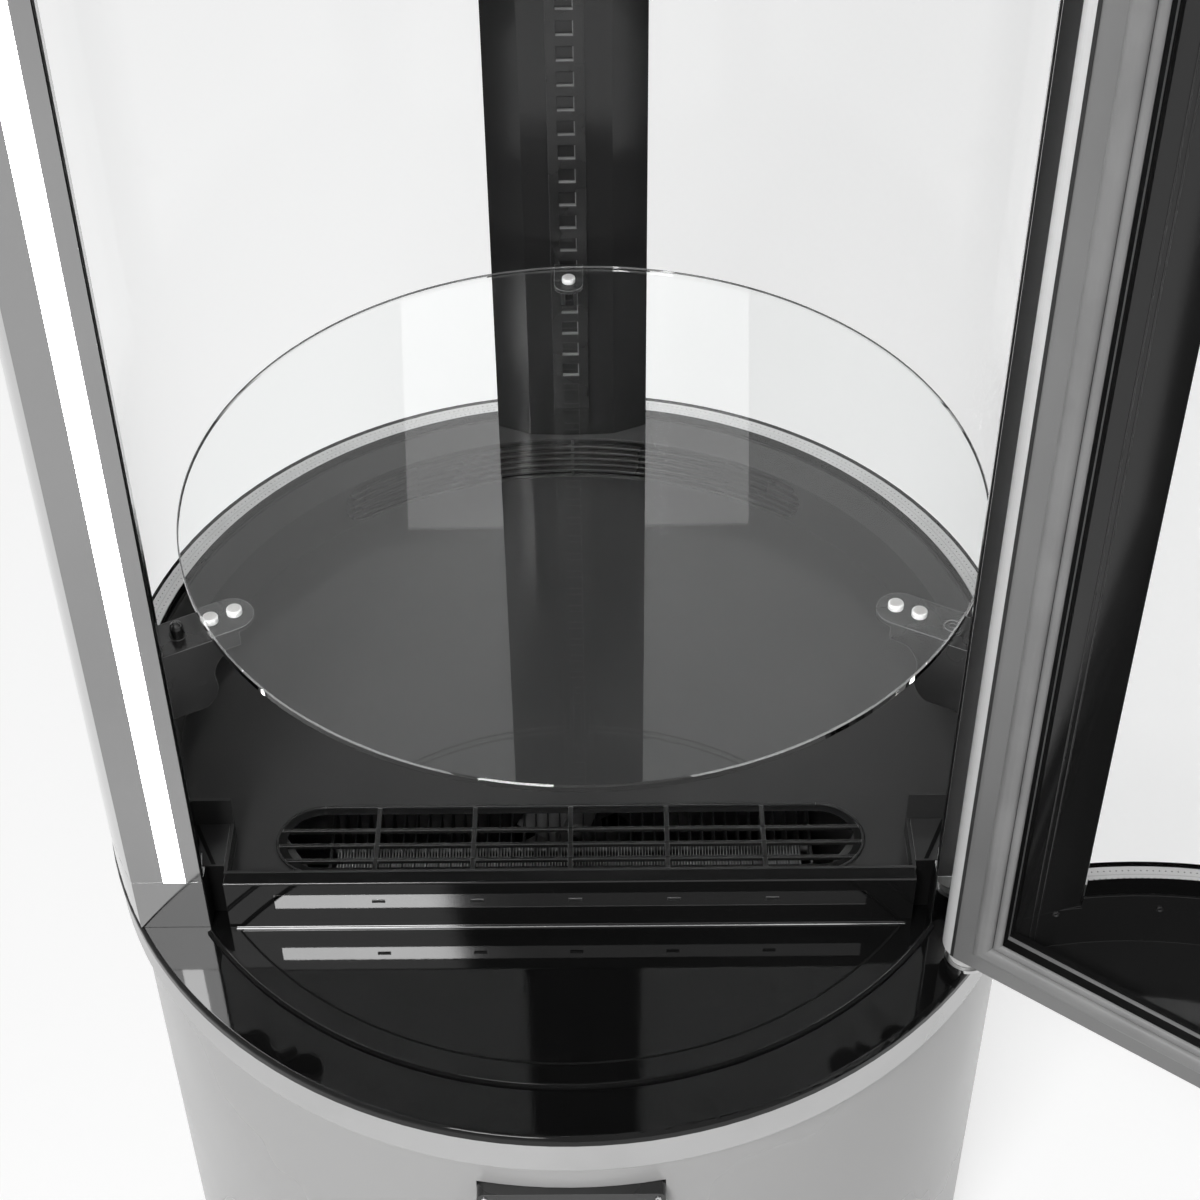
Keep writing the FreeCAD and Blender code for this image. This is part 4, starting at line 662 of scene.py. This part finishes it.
def addHingeCover():
    levels = (door["low"] + cover["gap"], door["high"] - cover["gap"])
    pin = (door["axisX"], door["axisY"], 0)
    shape = bmesh.new()
    spinBand(shape, cover["radii"], levels, cover["angles"], cover["steps"], pin)
    addPiece("door_edge_cover", shape, "door", finish["edgeWhite"], doorSwing)
    shape = bmesh.new()
    middle = (cover["sealX"], door["innerFace"] + cover["sealProud"] / 2, sum(levels) / 2)
    sizes = (cover["sealWide"], cover["sealProud"], levels[1] - levels[0])
    addBar(shape, middle, (1, 0, 0), (0, 1, 0), sizes, cover["sealRound"])
    addPiece("door_edge_seal", shape, "door", finish["mountRubber"], doorSwing)


# small screws on the wall of the door's foot
footScrews = {"radius": 2.6 * mm, "height": 1.4 * mm, "wall": 303 * mm, "level": 587 * mm,
              "angles": (46.0, 33.0, 20.0, 7.0)}


def addFootScrews():
    spots = []
    for angle in footScrews["angles"]:
        for side in (1, -1):
            way = math.radians(side * angle)
            facing = Vector((-math.sin(way), math.cos(way), 0))
            spots.append((facing * -footScrews["wall"] + Vector((0, 0, footScrews["level"])), facing))
    addScrews("door_foot_screws", spots, footScrews["radius"], footScrews["height"], "door",
              finish["mouldedBlack"], doorSwing)


addDoorLines()
addBorders()
addSeams()
addHingeCover()
addFootScrews()
print("door pieces made")

# screws of the vent panels and the control panel: half width, levels, side
panels = {"radius": 333.3 * mm, "front": (157 * mm, (83 * mm, 337 * mm), -1),
          "rear": (137 * mm, (113 * mm, 407 * mm), 1), "head": 4.0 * mm, "height": 1.8 * mm,
          "controlX": 57 * mm, "controlZ": (405 * mm, 447 * mm), "controlFace": -336 * mm,
          "controlHead": 2.0 * mm, "controlHeight": 1.0 * mm}


def addPanelScrews():
    spots = []
    for key in ("front", "rear"):
        halfX, levels, way = panels[key]
        depth = way * math.sqrt(panels["radius"] ** 2 - halfX ** 2)
        spots += [((x, depth, z), (x, depth, 0)) for x in (-halfX, halfX) for z in levels]
    addScrews("panel_screws", spots, panels["head"], panels["height"], "case",
              finish["brightSteel"])
    spots = [((x, panels["controlFace"], z), (0, -1, 0)) for x in (-panels["controlX"], panels["controlX"])
             for z in panels["controlZ"]]
    addScrews("control_screws", spots, panels["controlHead"], panels["controlHeight"], "case",
              finish["brightSteel"])


# matte black pads in the notches beside the sill as painted shade, and a silver bead along its foot as a
# painted highlight
notch = {"sideX": 248.1 * mm, "front": -164.8 * mm, "back": -150.2 * mm, "low": 520.3 * mm,
         "high": 566.4 * mm, "thick": 0.8 * mm, "innerX": 235.4 * mm, "round": 0.2 * mm}
bead = {"halfX": 230 * mm, "face": -167 * mm, "floor": 520 * mm, "size": 1.3 * mm, "round": 0.4 * mm}


def addSillTrim():
    shape = bmesh.new()
    thick = notch["thick"]
    middleZ, tall = (notch["low"] + notch["high"]) / 2, notch["high"] - notch["low"]
    middleY, deep = (notch["front"] + notch["back"]) / 2, notch["back"] - notch["front"]
    wide = notch["sideX"] - thick - notch["innerX"]
    for side in (1, -1):
        addBar(shape, (side * (notch["sideX"] - thick / 2), middleY, middleZ), (1, 0, 0), (0, 1, 0),
               (thick, deep, tall), notch["round"])
        addBar(shape, (side * (notch["innerX"] + wide / 2), notch["back"] - thick / 2, middleZ), (1, 0, 0),
               (0, 1, 0), (wide, thick, tall), notch["round"])
    # painted shade: matte black pads where the notches lie in shade
    addPiece("notch_shade_pads", shape, "case", finish["matteBlack"])
    # painted highlight: a silver bead draws the bright line along the sill's foot
    shape = bmesh.new()
    half = bead["size"] / 2
    addBar(shape, (0, bead["face"] - half, bead["floor"] + half), (1, 0, 0), (0, 1, 0),
           (2 * bead["halfX"], bead["size"], bead["size"]), bead["round"])
    addPiece("sill_highlight_bead", shape, "case", finish["ticketSilver"])


# black strips along the front of the posts' inner cheeks, a painted dark reflection
cheek = {"front": (248.1 * mm, -164.6 * mm), "back": (249.6 * mm, -154.6 * mm), "low": 567.2 * mm,
         "high": 1599.5 * mm, "thick": 0.5 * mm, "rise": 0.55, "round": 0.15 * mm}


def addPostCheekReflection():
    shape = bmesh.new()
    first, last = Vector((*cheek["front"], 0)), Vector((*cheek["back"], 0))
    run = last - first
    outward = Vector((-run.y, run.x, 0)).normalized()
    spot = (first + last) / 2 + outward * cheek["thick"] * cheek["rise"]
    sizes = (run.length, cheek["thick"], cheek["high"] - cheek["low"])
    for side in (1, -1):
        addBar(shape, (side * spot.x, spot.y, (cheek["low"] + cheek["high"]) / 2), (side * run.x, run.y, 0),
               (side * outward.x, outward.y, 0), sizes, cheek["round"])
    addPiece("post_cheek_dark_reflection", shape, "case", finish["matteBlack"])


# caps on the corner blocks with a black joint across them, and a black strip along the top of the sill
cap = {"corners": ((235.3, -150.6), (249.9, -150.6), (251.8, -138.2), (283.0, -112.6), (235.3, -112.4)),
       "joint": ((240.8, -149.4), (243.8, -149.4), (260.2, -113.4), (256.9, -113.4)),
       "levels": (566.6 * mm, 567.1 * mm), "jointLevels": (566.6 * mm, 567.3 * mm), "round": 0.15 * mm,
       "sillHalfX": 233.5 * mm, "sillY": (-166.4 * mm, -157.4 * mm)}


def addCaps():
    shape = bmesh.new()
    for side in (1, -1):
        addPlate(shape, [(side * x * mm, y * mm) for x, y in cap["corners"]], cap["levels"], cap["round"])
    addPiece("block_caps", shape, "case", finish["deckBlack"])
    shape = bmesh.new()
    for side in (1, -1):
        addPlate(shape, [(side * x * mm, y * mm) for x, y in cap["joint"]], cap["jointLevels"], cap["round"])
    addPiece("block_joints", shape, "case", finish["matteBlack"])
    shape = bmesh.new()
    near, far = cap["sillY"]
    halfX = cap["sillHalfX"]
    addPlate(shape, ((-halfX, near), (halfX, near), (halfX, far), (-halfX, far)), cap["levels"], cap["round"])
    addPiece("sill_cap", shape, "case", finish["matteBlack"])


# black joints along the two edges of the raised ring on the ledge, the outer one with a glossy bead
ledge = {"joints": (((298.7 * mm, 302.3 * mm), (-145.6, -34.4)), ((282.3 * mm, 283.7 * mm), (-143.1, -36.9))),
         "levels": (519.8 * mm, 521.8 * mm), "bead": (298.9 * mm, 300.3 * mm),
         "beadLevels": (521.2 * mm, 522.4 * mm), "steps": 80}


def addLedgeLines():
    shape = bmesh.new()
    for radii, angles in ledge["joints"]:
        spinBand(shape, radii, ledge["levels"], angles, ledge["steps"])
    addPiece("ledge_joints", shape, "case", finish["matteBlack"])
    shape = bmesh.new()
    outerAngles = ledge["joints"][0][1]
    spinBand(shape, ledge["bead"], ledge["beadLevels"], outerAngles, ledge["steps"], rounded=True)
    addPiece("ledge_bead", shape, "case", finish["glossBlackPaint"])


# tall socket heads on the left brackets, where the shelf leaves room for them
armScrews = {"spot": (-243.5 * mm, -127.9 * mm), "levels": (760 * mm, 1260 * mm), "radius": 4.3 * mm,
             "height": 12 * mm}


def addArmScrews():
    spots = [((*armScrews["spot"], level), (0, 0, 1)) for level in armScrews["levels"]]
    addScrews("arm_screw_heads", spots, armScrews["radius"], armScrews["height"], "case",
              finish["bracketBlack"])


# close fins along the front of the cold coil, between the fins of the CAD node
fins = {"pitch": 2.125 * mm, "thick": 0.3 * mm, "sunk": 0.4 * mm, "ends": 6 * mm, "deep": 20 * mm,
        "tall": 60 * mm}


def addCoilFins():
    low, high = (Vector(corner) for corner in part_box("evaporator"))
    inset = Vector((fins["ends"], fins["sunk"], fins["sunk"]))
    low, high = low + inset, high - inset
    low.z = high.z - fins["tall"]
    high.y = low.y + fins["deep"]
    shape = bmesh.new()
    plate = bmesh.ops.create_cube(shape, size=1.0)["verts"]
    place = Matrix.Translation((low.x, (low.y + high.y) / 2, (low.z + high.z) / 2))
    stretch = Matrix.Diagonal((fins["thick"], high.y - low.y, high.z - low.z, 1))
    bmesh.ops.transform(shape, matrix=place @ stretch, verts=plate)
    first = shape.faces[:]
    for step in range(1, int((high.x - low.x) / fins["pitch"])):
        fresh = bmesh.ops.duplicate(shape, geom=first)["geom"]
        moved = [part for part in fresh if isinstance(part, bmesh.types.BMVert)]
        bmesh.ops.translate(shape, verts=moved, vec=(step * fins["pitch"], 0, 0))
    addPiece("coil_fins", shape, "case", finish["finAluminium"])


# intake grille with a narrow rounded rim, set in a black bed
grille = {"half": (205 * mm, 32 * mm), "middleY": -114 * mm, "floor": 550 * mm, "rim": 2.2 * mm,
          "rise": 2.0 * mm, "bed": 7.4 * mm, "bedRise": 0.25 * mm, "barWide": 2.8 * mm, "ribWide": 3.4 * mm,
          "bars": (-104.1 * mm, -118.0 * mm, -131.8 * mm), "tall": 3.4 * mm, "sunk": 1.1 * mm,
          "ribs": (-134.6 * mm, -67.3 * mm, 0, 67.3 * mm, 134.6 * mm), "round": 0.5 * mm,
          "rimRound": 0.8 * mm, "bedRound": 0.05 * mm, "steps": 28}


# a band with round ends: two half rings joined by two straight bars
def addRoundBand(shape, insets, levels, edge, rounded=False):
    halfX, halfY = grille["half"]
    radii = (halfY - insets[1], halfY - insets[0])
    run, level = halfX - halfY, sum(levels) / 2
    for side, angles in ((1, (-90, 90)), (-1, (90, 270))):
        spinBand(shape, radii, levels, angles, grille["steps"], (side * run, grille["middleY"], 0), rounded)
        addBar(shape, (0, grille["middleY"] + side * sum(radii) / 2, level), (1, 0, 0), (0, 1, 0),
               (2 * run, radii[1] - radii[0], levels[1] - levels[0]), edge)


def addGrille():
    floor, middleY, rim = grille["floor"], grille["middleY"], grille["rim"]
    shape = bmesh.new()
    addRoundBand(shape, (0, rim), (floor, floor + grille["rise"]), grille["rimRound"], True)
    halfX, halfY = (half - 0.5 * rim for half in grille["half"])
    level = floor + grille["rise"] - grille["sunk"] - grille["tall"] / 2
    for y in grille["bars"]:
        reach = halfX - halfY + math.sqrt(halfY ** 2 - (y - middleY) ** 2)
        addBar(shape, (0, y, level), (1, 0, 0), (0, 1, 0), (2 * reach, grille["barWide"], grille["tall"]),
               grille["round"])
    for x in grille["ribs"]:
        addBar(shape, (x, middleY, level), (1, 0, 0), (0, 1, 0),
               (grille["ribWide"], 2 * halfY, grille["tall"]), grille["round"])
    face = addPiece("grille_face", shape, "case", finish["grilleBlack"])
    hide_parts("intake_grille")
    shape = bmesh.new()
    addRoundBand(shape, (rim, grille["bed"]), (floor, floor + grille["bedRise"]), grille["bedRound"])
    addPiece("grille_bed", shape, "case", finish["matteBlack"])


# painted highlight: grey lips at the foot and the right side of the slots in the column's rail, where the
# light catches them
slots = {"wide": 13 * mm, "tall": 12 * mm, "pitch": 20 * mm, "first": 658 * mm, "top": 1570 * mm,
         "lip": 1.5 * mm, "side": 0.6 * mm, "clear": 0.2 * mm, "round": 0.2 * mm}


def addSlotLips():
    front, back = (corner[1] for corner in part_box("column_rail"))
    middleY, deep = (front + back) / 2, back - front - slots["clear"]
    lip, clear = slots["lip"], slots["clear"]
    sideX = (slots["wide"] - slots["side"]) / 2 - clear
    shape = bmesh.new()
    for step in range(int((slots["top"] - slots["first"]) // slots["pitch"])):
        low = slots["first"] + step * slots["pitch"] - slots["tall"] / 2
        addBar(shape, (0, middleY, low + lip / 2), (1, 0, 0), (0, 1, 0),
               (slots["wide"] - 2 * clear, deep, lip), slots["round"])
        addBar(shape, (sideX, middleY, low + (slots["tall"] + lip) / 2), (1, 0, 0), (0, 1, 0),
               (slots["side"], deep, slots["tall"] - lip - 2 * clear), slots["round"])
    addPiece("slot_highlight_lips", shape, "case", finish["slotHighlightGrey"])


# black strip on the face of the hinge post, beside its light: a painted dark reflection
faceStrip = {"x": (248.4 * mm, 258.6 * mm), "face": -165 * mm, "thick": 0.4 * mm,
             "levels": (567.2 * mm, 1599.5 * mm), "round": 0.15 * mm}


def addFaceStrip():
    shape = bmesh.new()
    (left, right), (low, high) = faceStrip["x"], faceStrip["levels"]
    middle = ((left + right) / 2, faceStrip["face"] - faceStrip["thick"] / 2, (low + high) / 2)
    addBar(shape, middle, (1, 0, 0), (0, 1, 0), (right - left, faceStrip["thick"], high - low),
           faceStrip["round"])
    addPiece("post_face_dark_reflection", shape, "case", finish["matteBlack"])


addPanelScrews()
addSillTrim()
addPostCheekReflection()
addCaps()
addLedgeLines()
addArmScrews()
addCoilFins()
addGrille()
addSlotLips()
addFaceStrip()
print("case pieces made")

# camera at the picture's viewing angle
shot = {"place": (0.0248, -1.1502, 1.7089), "yaw": -0.143, "down": 42.305, "roll": -0.585, "lens": 66.553,
        "sensor": 36.0, "rise": 10 / 1200, "nearest": 0.05}


def addCamera():
    data = bpy.data.cameras.new("pictureCamera")
    data.lens = shot["lens"]
    data.sensor_width = shot["sensor"]
    data.shift_y = shot["rise"]
    data.clip_start = shot["nearest"]
    camera = bpy.data.objects.new("pictureCamera", data)
    bpy.context.scene.collection.objects.link(camera)
    turn = Matrix.Rotation(math.radians(-shot["yaw"]), 4, "Z")
    tilt = Matrix.Rotation(math.radians(90 - shot["down"]), 4, "X")
    roll = Matrix.Rotation(math.radians(shot["roll"]), 4, "Z")
    camera.matrix_world = Matrix.Translation(shot["place"]) @ turn @ tilt @ roll
    bpy.context.scene.camera = camera


# white studio: pale floor, white surround, a key softbox at the front left and two weak fills
studio = {"floorHalf": 9.0, "floorTone": 0.5, "floorLift": 1.02, "floorFilm": 0.7, "floorGrain": 40.0,
          "floorRough": 0.7, "floorSpecular": 0.1, "floorGlow": 0.66, "ambient": 0.22,
          "lamps": (("keyLamp", (-0.9, -2.75, 3.5), (1.05, 1.05), 92.0, True),
                    ("fillLamp", (2.2, -1.4, 2.8), (2.0, 2.0), 9.0, False),
                    ("backLamp", (-0.03, 2.7, 2.3), (0.72, 1.2), 2.7, True)), "aim": (0, 0, 0.7)}


def backgroundRay(tree):
    path = addNode(tree, "LightPath").outputs
    seen = addMath(tree, "MAXIMUM", path["Is Camera Ray"], path["Is Glossy Ray"])
    return addMath(tree, "MAXIMUM", seen, path["Is Transmission Ray"])


def addStudio():
    scene = bpy.context.scene
    world = bpy.data.worlds.new("whiteStudio")
    scene.world = world
    world.use_nodes = True
    tree = world.node_tree
    sky = tree.nodes["Background"]
    sky.inputs["Color"].default_value = grey(1.0)
    tree.links.new(remap(tree, backgroundRay(tree), 0, 1, studio["ambient"], 1.0), sky.inputs["Strength"])
    shape = bmesh.new()
    bmesh.ops.create_grid(shape, x_segments=1, y_segments=1, size=studio["floorHalf"])
    mesh = bpy.data.meshes.new("studioFloor")
    shape.to_mesh(mesh)
    shape.free()
    floor = bpy.data.objects.new("studioFloor", mesh)
    scene.collection.objects.link(floor)
    material, tree, shader = startMaterial("paleFloor")
    skin = useGroup(tree, skinGroup, {"Film Scale": studio["floorFilm"], "Grain Scale": studio["floorGrain"]})
    level = studio["floorTone"]
    tone = mixColour(tree, skin["Film"], grey(level), grey(level * studio["floorLift"]))
    tree.links.new(tone, shader.inputs["Base Color"])
    shader.inputs["Roughness"].default_value = studio["floorRough"]
    shader.inputs["Specular IOR Level"].default_value = studio["floorSpecular"]
    shader.inputs["Emission Color"].default_value = grey(1.0)
    glow = remap(tree, backgroundRay(tree), 0, 1, 0.0, studio["floorGlow"])
    tree.links.new(glow, shader.inputs["Emission Strength"])
    mesh.materials.append(material)
    for name, place, size, power, mirrored in studio["lamps"]:
        data = bpy.data.lights.new(name, "AREA")
        data.energy = power
        data.shape = "RECTANGLE"
        data.size, data.size_y = size
        lamp = bpy.data.objects.new(name, data)
        scene.collection.objects.link(lamp)
        look = Vector(studio["aim"]) - Vector(place)
        lamp.matrix_world = Matrix.Translation(place) @ look.to_track_quat("-Z", "Y").to_matrix().to_4x4()
        lamp.visible_glossy = mirrored
    scene.view_settings.view_transform = "Standard"


addCamera()
addStudio()
print("camera and studio set")
